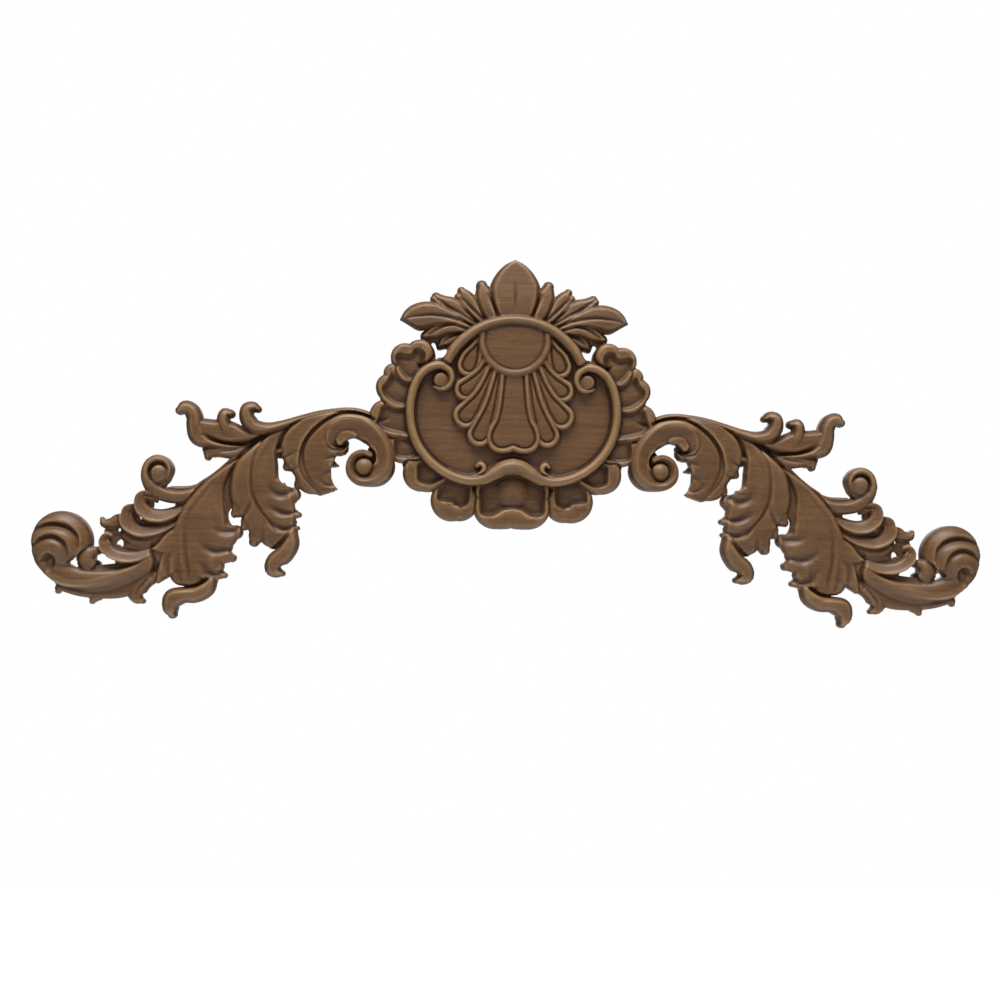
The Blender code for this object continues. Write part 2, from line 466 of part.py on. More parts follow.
def carve_small_scroll(relief):
    """The small scroll under the top leaf, with its stem and button."""
    relief.leaf([(173, -46, 3, 8.5), (180, -54.4, 4.1, 9), (187, -60.5, 4.3, 9.5), (194, -65, 4.1, 10)],
                arch=0.6, drop=1.8)
    relief.band([(188, -62, 3, 9.5), (200, -68, 4.2, 10.8), (208, -69.9, 5.4, 11.5), (216, -69.7, 5.3, 12),
                 (223, -67.3, 5.1, 12.5), (228, -62.5, 4.2, 13), (230, -56.5, 3, 13.3),
                 (228, -50.5, 2.7, 13.5), (223, -47.7, 2.6, 13.5), (217.5, -49.3, 2.5, 13.3),
                 (214.9, -54, 2.5, 13), (216.2, -59, 2, 12), (218.5, -62, 1.2, 10.5)], edge=WEB)
    relief.groove([(198, -65.4, 0.8, 0.5), (206, -67.4, 1, 1.8), (214, -67.2, 1, 1.8),
                   (221, -64.5, 0.9, 0.8)])
    relief.patch([(221.8, -57, 8.2)], flat(10.6), over=False)
    relief.band([(221.8, -57, 5.8, 14.2)], edge=10.6, power=0.5)
    relief.groove([(219, -50.9, 0.7, 0.6), (224, -51.3, 1, 1.6), (227, -55.5, 1.1, 1.9),
                   (226.2, -60.8, 0.9, 1.2)])


def carve_top_leaf(relief):
    """The leaf along the top of the wing, with its two outer curls and the lobe under it."""
    relief.leaf([(168, -42.5, 4, 8.5), (178, -42.8, 3.8, 9.4), (187, -42.5, 3.3, 9.6),
                 (191, -43.6, 3.8, 9.3), (191.8, -45.9, 2.2, 8.5)], arch=1.2, drop=1.8)
    relief.leaf([(158, -31.5, 2.5, 9.5), (168, -32, 4.6, 11), (179, -30.2, 7.4, 11.2),
                 (189, -28.8, 6.7, 11.2), (197, -27.5, 6.2, 11.2)],
                arch=0.6, drop=4.2, bevel=3.6, fall=1.25)
    curls = [
        [(166, -38.8, 1.6, 9.5), (175, -39.3, 2, 11), (184, -38.5, 2.6, 11.8), (191, -36.6, 3.9, 12.3),
         (197.3, -33, 6.2, 12.6), (199.9, -26.5, 5.6, 12.6), (200.4, -21, 5.2, 12.8),
         (202.7, -16.8, 5.1, 12.8), (206.7, -15.3, 4.6, 12.5), (210, -16.9, 2.7, 11.5)],
        [(177, -33, 3.5, 11), (180.5, -28.5, 5, 12.3), (182.2, -23.5, 4.5, 12.7), (181, -18.9, 4.2, 12.7),
         (177.9, -18.4, 2.7, 11.5)],
    ]
    for rows in curls:
        relief.leaf(rows, arch=0.6, drop=5.0, bevel=3.6, fall=1.25)
    relief.groove([(162, -35, 1.3, 1.5), (168, -37, 1.1, 2), (178, -37.3, 1, 2.2), (188, -35.8, 0.9, 1.8),
                   (195, -32.3, 0.8, 0.8)])
    relief.groove([(173, -40.8, 0.7, 0.8), (179, -42, 0.9, 1.4), (185, -42.6, 0.8, 0.8)])


def carve_outer_leaf(relief):
    """The long leaf that hangs outermost: its tail curl, blade, side lobes and hollows."""
    relief.leaf([(188, -123, 4, 9.5), (191, -128.5, 5.3, 11), (197.5, -132.3, 5.3, 11.5),
                 (205, -132.8, 5.2, 12), (211.3, -135.3, 6.4, 12), (213, -139.5, 5.3, 11.7),
                 (212.4, -142.8, 4.4, 11.2), (211.7, -144.9, 2.9, 10.5)],
                arch=0.8, drop=4.5, bevel=3.6, fall=1.5)
    relief.leaf([(171, -46, 1.5, 2, 8.5), (179, -52.5, 2.4, 4, 9.5), (187, -60, 3.6, 9, 10.3),
                 (193, -67.5, 5, 16, 11), (197.5, -75, 6.5, 20.2, 11.8), (200.5, -84, 8.5, 22.6, 12.2),
                 (202, -94, 11, 26, 12), (202.3, -104, 15, 26.8, 11.6), (202, -111, 15, 21.8, 11),
                 (201.5, -117.5, 10.2, 10.6, 10.2)], arch=2.2, drop=2.6, bevel=3, tilt=0.6, over=True)
    relief.groove([(224.6, -100.5, 1, 0.8), (225.2, -105.4, 1.2, 1.8), (223, -111.6, 1.4, 2.6),
                   (223.8, -117, 1.3, 2.2), (225.4, -122, 0.9, 1)])
    for rows in ([(206, -104, 10, 10.8), (212, -111, 8.2, 11.2), (216.4, -117.4, 5, 11.2),
                  (219.6, -122, 2.8, 10.6), (221.2, -125, 0.9, 9.6)],
                 [(204, -97, 9, 11), (213, -100.5, 7.4, 11.4), (219.5, -103.2, 3.8, 11.6),
                  (224.4, -104.3, 0.8, 10.8)]):
        relief.leaf(rows, arch=1.0, drop=2.4, bevel=2)
    lobes = [
        [(192, -93, 9, 10.9), (181, -94.8, 9.6, 10.2), (173.4, -92.9, 4.5, 8.5)],
        [(190, -105, 8, 10.7), (180, -107.8, 5.4, 9.7), (175.4, -109.2, 2.7, 8.2)],
        [(188, -113, 7, 10.5), (184.6, -114.3, 4.4, 9.6)],
        [(204.5, -110, 9, 11), (205.6, -118.5, 8.6, 10.2)],
        [(178, -107, 2.2, 8.5), (174, -108.4, 1.3, 7.8)],
        [(194, -115, 8, 10.4), (185.5, -118.6, 5, 9.3), (180, -120.1, 2, 8)],
    ]
    for rows in lobes:
        relief.leaf(rows, arch=1.0, drop=2.0)
    hollows = [
        [(172, -90.5, 1.3, 1.2), (175.2, -92.3, 2.2, 2.4), (181.6, -92.2, 2.8, 2.2),
         (189, -89.3, 2.6, 0.4)],
        [(174.5, -103, 1.2, 1.2), (179.9, -104.2, 2.0, 2.2), (186.4, -104.8, 2.8, 3),
         (192.8, -101.1, 2.8, 2), (197, -95.5, 2.4, 0.3)],
        [(178.5, -117, 1.2, 1.2), (184.7, -119.3, 2.0, 2.4), (189.3, -118.4, 2.7, 3),
         (193.2, -113.8, 2.6, 1.9), (197.5, -108, 2.2, 0.3)],
        [(187.7, -61.2, 0.9, 0.4), (195.2, -72, 1.3, 0.9), (201.7, -81, 1.6, 1.1), (204.6, -90, 1.7, 1.2),
         (204.7, -99.1, 1.5, 1.3), (203.9, -108.2, 1.4, 1.4), (202.1, -117.3, 1.3, 1.4),
         (201.8, -124, 1, 1)],
        [(211.2, -104.4, 1.6, 0.4), (215.2, -110, 1.9, 1.6), (215.4, -116.5, 1.7, 1.6),
         (213.6, -121.5, 1.2, 1)],
        [(208.4, -105, 1.4, 0.3), (209.2, -112, 1.6, 1.0), (208.4, -119, 1.4, 1.1), (206.8, -124, 1, 0.8)],
        [(191, -123, 1.2, 2), (196, -126.3, 1, 2), (203, -127.8, 0.9, 1.6), (209.5, -127.5, 0.9, 1.2)],
    ]
    for rows in hollows:
        relief.groove(rows)


def carve_middle_leaf(relief):
    """The middle leaf: its tail curl, blade, side lobes and hollows."""
    relief.leaf([(139, -93, 4.5, 10.5), (139, -99.5, 5.5, 12), (142.5, -106, 5.8, 12.3),
                 (148, -111, 5.9, 12.3), (149.3, -115.2, 5.5, 12), (147.3, -117.3, 4.2, 11.5),
                 (143.8, -118.4, 2.0, 10.5)], arch=0.8, drop=4.5, bevel=3.6, fall=1.5)
    relief.leaf([(143, -28, 1.5, 2.5, 11), (148, -33, 5.2, 4, 11.8), (152, -38, 6.8, 5, 12.2),
                 (157, -45, 9.6, 10.8, 12.6), (161, -53, 12.8, 14.8, 12.9), (162.3, -61, 14, 16.2, 13),
                 (162, -70, 14.3, 20, 12.7), (159.5, -78, 12, 22, 12.2), (154, -86, 12.5, 18.5, 11.3),
                 (149.5, -92, 9.5, 6, 10.8), (147, -97, 5.6, 1.6, 10)],
                arch=2.2, drop=2.6, bevel=3, tilt=0.8, vein=0.9, vein_width=2.6, over=True)
    relief.leaf([(150, -70, 12, 11.5), (148.5, -78, 12, 11.2), (147, -86, 11.2, 10.8),
                 (145, -91, 9.2, 10.2)], arch=0.8, drop=2)
    lobes = [
        [(157, -68, 7, 11.5), (147, -69.3, 6, 11), (139, -69.2, 5.7, 10), (137.6, -68.6, 4.5, 9)],
        [(151, -78, 7.5, 11.2), (141, -80.3, 5.6, 10), (134.2, -81.3, 1.9, 8.5)],
        [(149, -86.5, 6, 10.6), (141, -89.3, 3.8, 9.5), (134.8, -89.7, 1.5, 8)],
        [(169, -75, 6, 11.8), (172.6, -79.8, 4.4, 10.5), (175.4, -82.2, 1.9, 9)],
        [(161, -82, 7, 11.3), (166.3, -86.3, 4.4, 10.2), (168, -89.3, 2.5, 9)],
        [(156, -90, 7.5, 10.8), (160.3, -95.5, 5.4, 9.8), (161.8, -98.8, 3.2, 9)],
        [(151, -91, 7, 10.8), (153, -95.8, 5.3, 9.8), (149.8, -100, 3.3, 9)],
    ]
    for rows in lobes:
        relief.leaf(rows, arch=1.0, drop=2.0)
    hollows = [
        [(136.4, -66, 1.2, 0.8), (139.8, -67, 2.0, 2.2), (145.6, -68.6, 2.6, 3.2), (150.7, -66, 2.4, 2),
         (153.6, -60.5, 1.8, 0.3)],
        [(135.8, -79.6, 1.2, 1.2), (141.9, -80.3, 2.2, 3), (148.2, -78.3, 2.6, 2.6),
         (154.3, -74.2, 2.2, 0.4)],
        [(136.4, -88.3, 1.1, 1.2), (142.6, -90.2, 1.8, 2.6), (148.4, -88.2, 2.0, 2), (153, -84, 1.8, 0.4)],
        [(152.7, -27, 0.8, 0.6), (158, -36.6, 0.9, 1.1), (162.6, -46.4, 0.9, 1.3), (164, -57.5, 0.9, 1.4),
         (162.9, -68.9, 0.9, 1.4), (158.5, -77.9, 0.9, 1.4), (152.2, -85.6, 0.9, 1.2),
         (147.2, -92.1, 0.8, 0.8)],
        [(141, -95, 1.3, 1.6), (145, -99, 1.3, 2.4), (150, -103.2, 1, 2)],
        [(163.6, -71, 1.1, 0.3), (165.4, -77.6, 1.4, 1.6), (169.6, -84, 1.2, 1.8)],
        [(155.5, -87, 1.2, 0.3), (156.4, -94, 1.4, 1.4), (155.8, -99.5, 1.1, 1.2)],
    ]
    for rows in hollows:
        relief.groove(rows)


def carve_inner_leaf(relief):
    """The inner leaf with its hook, which grows out of the inner scroll."""
    relief.leaf([(100, -18.6, 1.6, 2, 12.8), (106, -18.9, 3.2, 5, 12.9), (112, -20.5, 5.6, 8, 13),
                 (120, -26, 10.5, 13, 13.2), (126, -31.5, 14, 15, 13.2), (130, -38, 15.6, 17.5, 13),
                 (131.3, -46, 13.6, 19, 12.5), (130, -54, 8, 15.3, 11.6), (126.5, -61, 8, 12.5, 10.5),
                 (121, -66, 3, 3.4, 9.3)], arch=1.8, drop=2.4, bevel=3, tilt=0.6, vein=1.8, over=True)
    lobes = [
        [(138, -43, 5, 11.3), (144.5, -41.2, 2.6, 10.6), (149, -42.3, 1, 9.5)],
        [(136, -48, 6, 11), (141, -50.5, 4.2, 9.8), (144, -52.5, 1.5, 8.5)],
        [(130, -57, 6, 10.8), (134, -60.5, 3.5, 9.5), (135, -62.5, 2.5, 8.5)],
        [(118, -46, 5, 11.3), (113, -49, 2.2, 9.8), (110, -49.9, 0.7, 8.5)],
        [(119, -60, 6, 10.8), (114.5, -63.3, 3, 9.3), (110.8, -64.7, 0.6, 8)],
        [(122, -52, 7.5, 11.3), (121.3, -57, 7, 10.6)], [(112, -31.5, 5, 11.5), (109.6, -34.3, 5, 11)],
        [(113, -64.8, 1.6, 8.5), (120, -64.4, 4.2, 9.5), (127, -63.2, 4.2, 9.3), (133, -62.5, 2.8, 8.5)],
    ]
    for rows in lobes:
        relief.leaf(rows, arch=0.8, drop=1.8)
    relief.band([(120, -33, 9, 12.8), (113, -37, 6.6, 12.5), (107.7, -38.5, 4.7, 12.2),
                 (105.3, -35.6, 2, 11)], edge=7.5)
    folds = [
        [(136.2, -41.6, 1.1, 0.4), (140.4, -43.8, 1.3, 1.4), (144.4, -45.6, 1.2, 1.4),
         (147, -45.4, 0.8, 0.6)],
        [(133.8, -50.4, 1.0, 0.4), (137.6, -52.6, 1.2, 1.1), (141.4, -54, 0.9, 0.9)],
    ]
    for rows in folds:
        relief.groove(rows)


def carve_inner_scroll(relief):
    """The scroll that grows out of the inner leaf, its button, and the stem over it that ends in a curl."""
    relief.leaf([(122.3, -61, 3.5, 10.2), (123, -54, 7.2, 11.6), (122, -46, 8.8, 12.7),
                 (119, -38.3, 9.2, 13.5), (114.4, -31.6, 8.2, 14), (108.3, -27.3, 7.2, 14.4),
                 (102, -25.8, 6.5, 14.8)], arch=1.6, drop=4.2, bevel=3.8, fall=1.25, plain=1)
    relief.leaf([(112, -28.6, 5, 13), (108.3, -27.3, 6.6, 14.3), (102, -25.8, 6.5, 14.8),
                 (97, -26.3, 6.6, 14.8), (90, -30, 6.7, 14.8), (85, -36.5, 6.6, 14.8), (82, -44, 6.3, 14.8),
                 (80.6, -51, 6.5, 14.8), (84, -57, 5.3, 14.6), (91, -59.9, 3, 14.4),
                 (97.5, -58.9, 2.9, 14.2), (101.6, -55, 2.8, 14.2), (102.3, -49.5, 2.6, 14),
                 (99.6, -44.4, 2.6, 13.8), (94.5, -42.2, 2.5, 13.3), (90, -43.5, 2, 12.5)],
                arch=1.6, drop=4.2, bevel=3.8, fall=1.25)
    relief.leaf([(95, -19.6, 1.8, 2.2, 13.4), (103, -18.9, 2.2, 2.4, 13.4), (111, -20.6, 3, 3, 13.4),
                 (118, -25.4, 4.4, 4.4, 13.2), (123, -32.5, 6.4, 6.2, 13), (125.4, -41, 8.5, 6.6, 12.7),
                 (124.6, -50, 10, 7, 12.1), (120.6, -57.5, 9, 7.4, 11.2), (116.5, -63, 7, 6, 10.4)],
                arch=0.9, drop=1.6, bevel=2.4, tilt=-0.7, plain=-1, over=True, within=True)
    lobes = [
        [(110.6, -43.2, 1.2, 1.2), (114.5, -44.8, 1.5, 1.6), (119, -46.6, 1.4, 0.5)],
        [(112.6, -52.6, 1.4, 1.2), (117, -54.4, 2.0, 1.5), (120.4, -57.6, 1.8, 0.6)],
        [(111.6, -62.6, 1, 0.8), (116.6, -62.2, 1.4, 1.3), (121, -59.4, 1.6, 1), (123.8, -54.4, 1.6, 0.3)],
    ]
    for rows in lobes:
        relief.groove(rows)
    relief.leaf([(104.9, -36.8, 0.8, 1.2, 10.2), (107.3, -39.1, 2, 1.6, 11.4), (111.4, -39.7, 4, 1.9, 12.6),
                 (115.4, -37.8, 7.4, 2, 13.8), (117.3, -33.6, 9.6, 2, 14.6), (116.4, -28.2, 11, 2.2, 14.9),
                 (113, -23.7, 12, 2.5, 15), (107.3, -21.3, 12.5, 2.7, 15), (101.6, -20.9, 12.5, 2.8, 15),
                 (96, -22.1, 12, 3.2, 15), (91, -25.2, 11, 4, 15), (86.8, -29.8, 10.4, 4.8, 15),
                 (83, -35, 9.6, 5, 15), (80.9, -40, 8.6, 5, 15), (80.4, -45.2, 7.6, 5.2, 14.9),
                 (81.6, -51, 6.4, 5.6, 14.8), (85, -55.9, 4.4, 4.8, 14.6), (90.3, -59.2, 2.8, 3.4, 14.4),
                 (97, -59, 2.8, 3, 14.3), (101.9, -55.4, 3, 2.8, 14.2), (103.2, -49.6, 3.1, 2.7, 14),
                 (100.6, -43.8, 3, 2.6, 13.8), (95, -41.5, 2.8, 2.5, 13.3), (90.2, -43, 2, 2, 12.5)],
                arch=1.2, drop=3.6, bevel=3.4, fall=1.25, tilt=-3.2, plain=1, over=True, within=True)
    relief.band([(93.8, -50.8, 5.7, 14.4)], edge=9.5, power=0.5)
    relief.groove([(103.8, -34, 1.1, 1.4), (105.9, -36.6, 1.3, 2.2), (109.2, -38, 1.3, 1.9),
                   (113.1, -37.2, 1.2, 1.1), (115.2, -34.4, 1, 0.4)])
    relief.leaf([(86, -20.5, 1.5, 11.5), (92, -17.1, 1.9, 12.6), (98, -15.3, 1.8, 13.2),
                 (105, -14.8, 1.7, 13.4), (113, -15.9, 2, 13.6), (122, -17.7, 2.3, 13.8),
                 (134, -21, 2.3, 13.8), (145, -25, 3, 13.8), (155, -27.5, 4, 13.8), (163, -26.3, 4.9, 13.8),
                 (167.2, -21.2, 5.1, 13.8), (167.3, -15.6, 4.4, 13.5), (163.5, -14.1, 3.6, 12.8),
                 (161, -15, 2.3, 11.5)], arch=0.6, drop=5.0, bevel=3.6, fall=1.25)
    relief.groove([(88, -20.6, 1, 1.8), (93, -18.3, 1, 2.2), (98, -17.2, 1, 2.4), (103.5, -16.7, 1, 2.4),
                   (108.7, -17.2, 1, 2.4), (114.4, -19.7, 1.1, 2.2), (119.3, -23, 1.1, 2),
                   (124.1, -27.2, 1.1, 1.8), (128.2, -31.8, 1.1, 1.7), (131.1, -37.1, 1.1, 1.6),
                   (132.3, -42.3, 1.1, 1.5), (132, -48.5, 1.1, 1.4), (130.1, -54.1, 1.1, 1.3),
                   (127.6, -59, 1, 1), (124.4, -62.8, 0.9, 0.6)])
    relief.groove([(134, -22.3, 0.7, 0.6), (140, -25.7, 0.9, 1.6), (145.5, -32, 1.3, 1.6),
                   (147.8, -39, 1.2, 1.6)])
    relief.groove([(154, -31.8, 0.8, 0.8), (160, -34, 1.5, 2.5), (166, -40, 1.5, 2.2), (172, -46, 1.5, 1.4)])


def pierce_slots(relief):
    """The openings that the router cuts through the piece."""
    slots = [
        [(44.2, 23.2, 1.5), (45.8, 21.6, 2.2), (47.6, 21.4, 2), (49.5, 24.5, 1), (51.2, 28.2, 1.4)],
        [(212.3, -76.2, 0.8), (216, -76.9, 1.4), (220, -77, 2.3), (223.7, -77.3, 1.4)],
        [(232.3, -85.2, 0.75), (233.1, -84.1, 0.75)], [(245.8, -92.6, 1.15), (245.9, -92.5, 1.15)],
        [(244, -102, 1.1), (245, -100.4, 1.9), (246.8, -100.8, 1)],
        [(248.8, -113, 0.8), (252, -112.2, 1.6), (255.4, -110.5, 2.7), (258, -110, 1.3)],
        [(271.7, -110.2, 0.9), (272.7, -112.2, 2.1), (272.3, -114.3, 2.1), (271.2, -115.6, 1)],
        [(273, -113.2, 2), (275.2, -113.4, 1.3)],
        [(146.1, -47.6, 1.3), (146, -52.5, 1.5), (144, -57.5, 3.4), (140.5, -59.3, 3.9), (140.2, -61, 2.8)],
        [(176.8, -78.6, 0.6), (177.5, -80.8, 0.9), (177.3, -83, 1.2), (176.2, -85.2, 1.7),
         (174.6, -86.6, 2.1), (172.4, -86, 1.9)],
    ]
    for rows in slots:
        relief.slot(rows)


def carve_half(cell):
    """The right half of the relief, far things first."""
    relief = Relief(cell)
    for carve in (carve_petals, carve_crest, carve_shell, carve_moulding, carve_webs, carve_stem_and_ball,
                  carve_feathers, carve_small_scroll, carve_top_leaf, carve_outer_leaf, carve_middle_leaf,
                  carve_inner_leaf, carve_inner_scroll, pierce_slots):
        carve(relief)
    relief.height = np.maximum(relief.height, GROUND)
    return relief


def solid_cells(relief):
    """The grid cells inside the outline, joined edge to edge in one piece."""
    inside = relief.inside
    kept = (inside[:-1, :-1] + inside[1:, :-1] + inside[:-1, 1:] + inside[1:, 1:]) > 0
    for _ in range(3):
        a, b, c, d = kept[:-1, :-1], kept[1:, :-1], kept[:-1, 1:], kept[1:, 1:]
        a |= (b & c & ~d & ~a)
        b |= (a & d & ~b & ~c)
    reached = np.zeros_like(kept)
    reached[kept.shape[0] // 2, 0] = True
    while True:
        grown = reached.copy()
        grown[1:] |= reached[:-1]
        grown[:-1] |= reached[1:]
        grown[:, 1:] |= reached[:, :-1]
        grown[:, :-1] |= reached[:, 1:]
        grown &= kept
        if (grown == reached).all():
            return reached
        reached = grown


def sample(relief, values, x, z):
    """Values between the grid's points."""
    column = np.clip(x / relief.cell, 0, len(relief.xs) - 1.001)
    row = np.clip((z - BOTTOM) / relief.cell, 0, len(relief.zs) - 1.001)
    i, j = column.astype(int), row.astype(int)
    s, t = column - i, row - j
    return ((values[j, i] * (1 - s) + values[j, i + 1] * s) * (1 - t)
            + (values[j + 1, i] * (1 - s) + values[j + 1, i + 1] * s) * t)


def settle_on_outline(relief, x, z):
    """Moves rim points to where the distance inside the outline is nought, by less than a cell."""
    start_x, start_z = x.copy(), z.copy()
    reach, probe = 0.62 * relief.cell, 0.25 * relief.cell
    middle = x < 1e-6
    for _ in range(6):
        value = sample(relief, relief.inside, x, z)
        slope_x = (sample(relief, relief.inside, x + probe, z) - sample(relief, relief.inside, x - probe,
                                                                        z)) / 2
        slope_z = (sample(relief, relief.inside, x, z + probe) - sample(relief, relief.inside, x,
                                                                        z - probe)) / 2
        slope_x, slope_z = np.where(middle, 0, slope_x / probe), slope_z / probe
        steep = np.maximum(slope_x ** 2 + slope_z ** 2, 0.3)
        x = np.clip(x - value * slope_x / steep, start_x - reach, start_x + reach)
        z = np.clip(z - value * slope_z / steep, start_z - reach, start_z + reach)
    return np.where(middle, 0, x), z


def ordered_mesh(mesh):
    """The mesh with its faces in the order of their points, so that each run gives the same one."""
    mesh.verts.index_update()
    faces = []
    for face in mesh.faces:
        corners = [vert.index for vert in face.verts]
        first = corners.index(min(corners))
        faces.append(corners[first:] + corners[:first])
    data = bpy.data.meshes.new(NAME)
    data.from_pydata([vert.co[:] for vert in mesh.verts], [], sorted(faces))
    return data


def half_solid(relief):
    """The right half as a mesh that is open at x = 0: carved front, upright walls and flat back."""
    kept = solid_cells(relief)
    rows, columns = kept.shape
    mesh = bmesh.new()
    bmesh.ops.create_grid(mesh, x_segments=columns, y_segments=rows, size=1.0)
    mesh.verts.ensure_lookup_table()
    flat_points = np.array([vert.co[:2] for vert in mesh.verts])
    x = np.rint((flat_points[:, 0] + 1) / 2 * columns) * relief.cell
    z = np.rint((flat_points[:, 1] + 1) / 2 * rows) * relief.cell + BOTTOM
    for vert, px, pz in zip(mesh.verts, x, z):
        vert.co = (px, 0, pz)
    outside = []
    for face in mesh.faces:
        centre = face.calc_center_median()
        if not kept[int((centre.z - BOTTOM) / relief.cell), int(centre.x / relief.cell)]:
            outside.append(face)
    bmesh.ops.delete(mesh, geom=outside, context="FACES")
    rim = [vert for vert in mesh.verts if vert.is_boundary]
    rim_x, rim_z = settle_on_outline(relief, np.array([v.co.x for v in rim]),
                                     np.array([v.co.z for v in rim]))
    for vert, px, pz in zip(rim, rim_x, rim_z):
        vert.co.x, vert.co.z = px, pz
    raised = bmesh.ops.extrude_face_region(mesh, geom=mesh.faces[:])
    front = [item for item in raised["geom"] if isinstance(item, bmesh.types.BMVert)]
    front_x, front_z = np.array([v.co.x for v in front]), np.array([v.co.z for v in front])
    for vert, height in zip(front, sample(relief, relief.height, front_x, front_z)):
        vert.co.y = -height
    seam = [face for face in mesh.faces if all(vert.co.x < 1e-6 for vert in face.verts)]
    bmesh.ops.delete(mesh, geom=seam, context="FACES")
    bmesh.ops.scale(mesh, vec=(0.001, 0.001, 0.001), verts=mesh.verts[:])
    bmesh.ops.recalc_face_normals(mesh, faces=mesh.faces[:])
    data = ordered_mesh(mesh)
    mesh.free()
    return data


def finished_mesh(applique):
    """The mirrored, thinned solid, with every point of its back exactly on the plane y = 0."""
    mirror = applique.modifiers.new("Mirror", "MIRROR")
    mirror.use_clip = True
    mirror.merge_threshold = 0.0001
    triangles = applique.modifiers.new("Triangulate", "TRIANGULATE")
    triangles.keep_custom_normals = False
    whole = 4 * len(applique.data.polygons)
    thin = applique.modifiers.new("Decimate", "DECIMATE")
    thin.ratio = TRIANGLES / whole
    evaluated = applique.evaluated_get(bpy.context.evaluated_depsgraph_get())
    data = bpy.data.meshes.new_from_object(evaluated)
    applique.modifiers.clear()
    for vert in data.vertices:
        if vert.co.y > -0.0004:
            vert.co.y = 0.0
    return data


def wood(name, colour, roughness):
    """A plain Principled material."""
    material = bpy.data.materials.new(name)
    material.use_nodes = True
    surface = material.node_tree.nodes["Principled BSDF"]
    surface.inputs["Base Color"].default_value = (*colour, 1)
    surface.inputs["Roughness"].default_value = roughness
    return material


def main():
    """Clears the scene and models the applique."""
    for item in list(bpy.data.objects):
        bpy.data.objects.remove(item)
    collection = bpy.data.collections.new("Carved applique")
    bpy.context.scene.collection.children.link(collection)
    applique = bpy.data.objects.new(NAME, half_solid(carve_half(CELL)))
    collection.objects.link(applique)
    applique.data = finished_mesh(applique)
    applique.data.materials.clear()
    applique.data.materials.append(wood("Stained rubberwood", (0.195, 0.125, 0.083), 0.5))


main()
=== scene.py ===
"""Looks of the carved wood applique: fine relief, wood finish, floor, lights and camera.

The relief is the height of the carving over its flat back, worked out on a fine grid from strokes:
leaves, bands, grooves and hollows that follow smooth curves. The right half is carved, then mirrored.
Lengths of the carving are millimetres; the mesh is in metres. +Z is up and the carving faces -Y.

A row of a stroke is (x, z, half width, height). A leaf may have (x, z, left half width, right half width,
height), left being the left of its direction of travel.
"""

import logging
import math
from collections.abc import Callable, Sequence
from dataclasses import dataclass, field
from enum import Enum
from functools import partial

import bpy
import numpy as np
from mathutils import Matrix, Vector


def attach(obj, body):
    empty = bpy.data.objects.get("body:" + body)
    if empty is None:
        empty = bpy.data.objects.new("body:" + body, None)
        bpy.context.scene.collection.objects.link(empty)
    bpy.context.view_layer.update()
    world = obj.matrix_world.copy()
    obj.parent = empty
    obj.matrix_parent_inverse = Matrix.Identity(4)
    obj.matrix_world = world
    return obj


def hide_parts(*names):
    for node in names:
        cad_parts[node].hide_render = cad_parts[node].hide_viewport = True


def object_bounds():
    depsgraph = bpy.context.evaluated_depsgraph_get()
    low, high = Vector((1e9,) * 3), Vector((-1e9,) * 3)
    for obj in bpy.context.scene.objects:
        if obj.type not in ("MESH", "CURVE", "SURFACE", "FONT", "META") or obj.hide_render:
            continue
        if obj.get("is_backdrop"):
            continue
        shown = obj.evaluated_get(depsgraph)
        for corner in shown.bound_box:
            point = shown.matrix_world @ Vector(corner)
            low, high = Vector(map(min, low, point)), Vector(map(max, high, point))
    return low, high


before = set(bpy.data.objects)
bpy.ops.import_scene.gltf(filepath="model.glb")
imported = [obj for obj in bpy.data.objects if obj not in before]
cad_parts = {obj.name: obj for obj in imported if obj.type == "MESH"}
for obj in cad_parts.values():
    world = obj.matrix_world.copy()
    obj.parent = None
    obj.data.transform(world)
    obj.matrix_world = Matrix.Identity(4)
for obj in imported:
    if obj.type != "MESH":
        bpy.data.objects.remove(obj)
CAD_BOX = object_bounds()

log = logging.getLogger("applique")

Row = Sequence[float]
Rows = Sequence[Row]
Window = tuple[slice, slice]
Profile = Callable[[np.ndarray], np.ndarray]

NODE = "carved_applique"
MM = 0.001

# The grid of the carving, in millimetres, and the height where nothing is carved
HALF_WIDTH = 303.0
TOP = 86.0
BOTTOM = -150.0
FINE_CELL = 0.45
UNCARVED = -20.0

# Heights that the sub-assemblies share, in millimetres
GROUND = 3.5
WEB = 7.0
STROKE_EDGE = 6.5
PETAL_EDGE = 6.5
PETAL_SWELL = 1.3

# How a stroke ends: the slope of its flank, how far the flank is followed, how far inside its edge it
# covers what lies under it, and its least half width; and how far the floor of a petal takes to swell
WALL_SLOPE = 3.5
FLANK = 6.0
COVER_REACH = 0.6
THINNEST = 0.05
SWELL_REACH = 7.0


class Side(Enum):
    """Which side of a leaf keeps its full height out to the edge."""

    NEITHER = 0
    LEFT = 1
    RIGHT = -1


def smooth_max(first: np.ndarray, second: np.ndarray, blend: float) -> np.ndarray:
    """The larger of two heights, with their meeting rounded.

    The rounding adds (blend - |first - second|) squared over four times the blend where that is positive.

    Args:
        first: One height.
        second: The other height.
        blend: How far apart the heights may be and still round.

    Returns:
        The rounded maximum.
    """
    near = np.clip(blend - np.abs(first - second), 0, None) / blend
    return np.maximum(first, second) + near * near * blend / 4


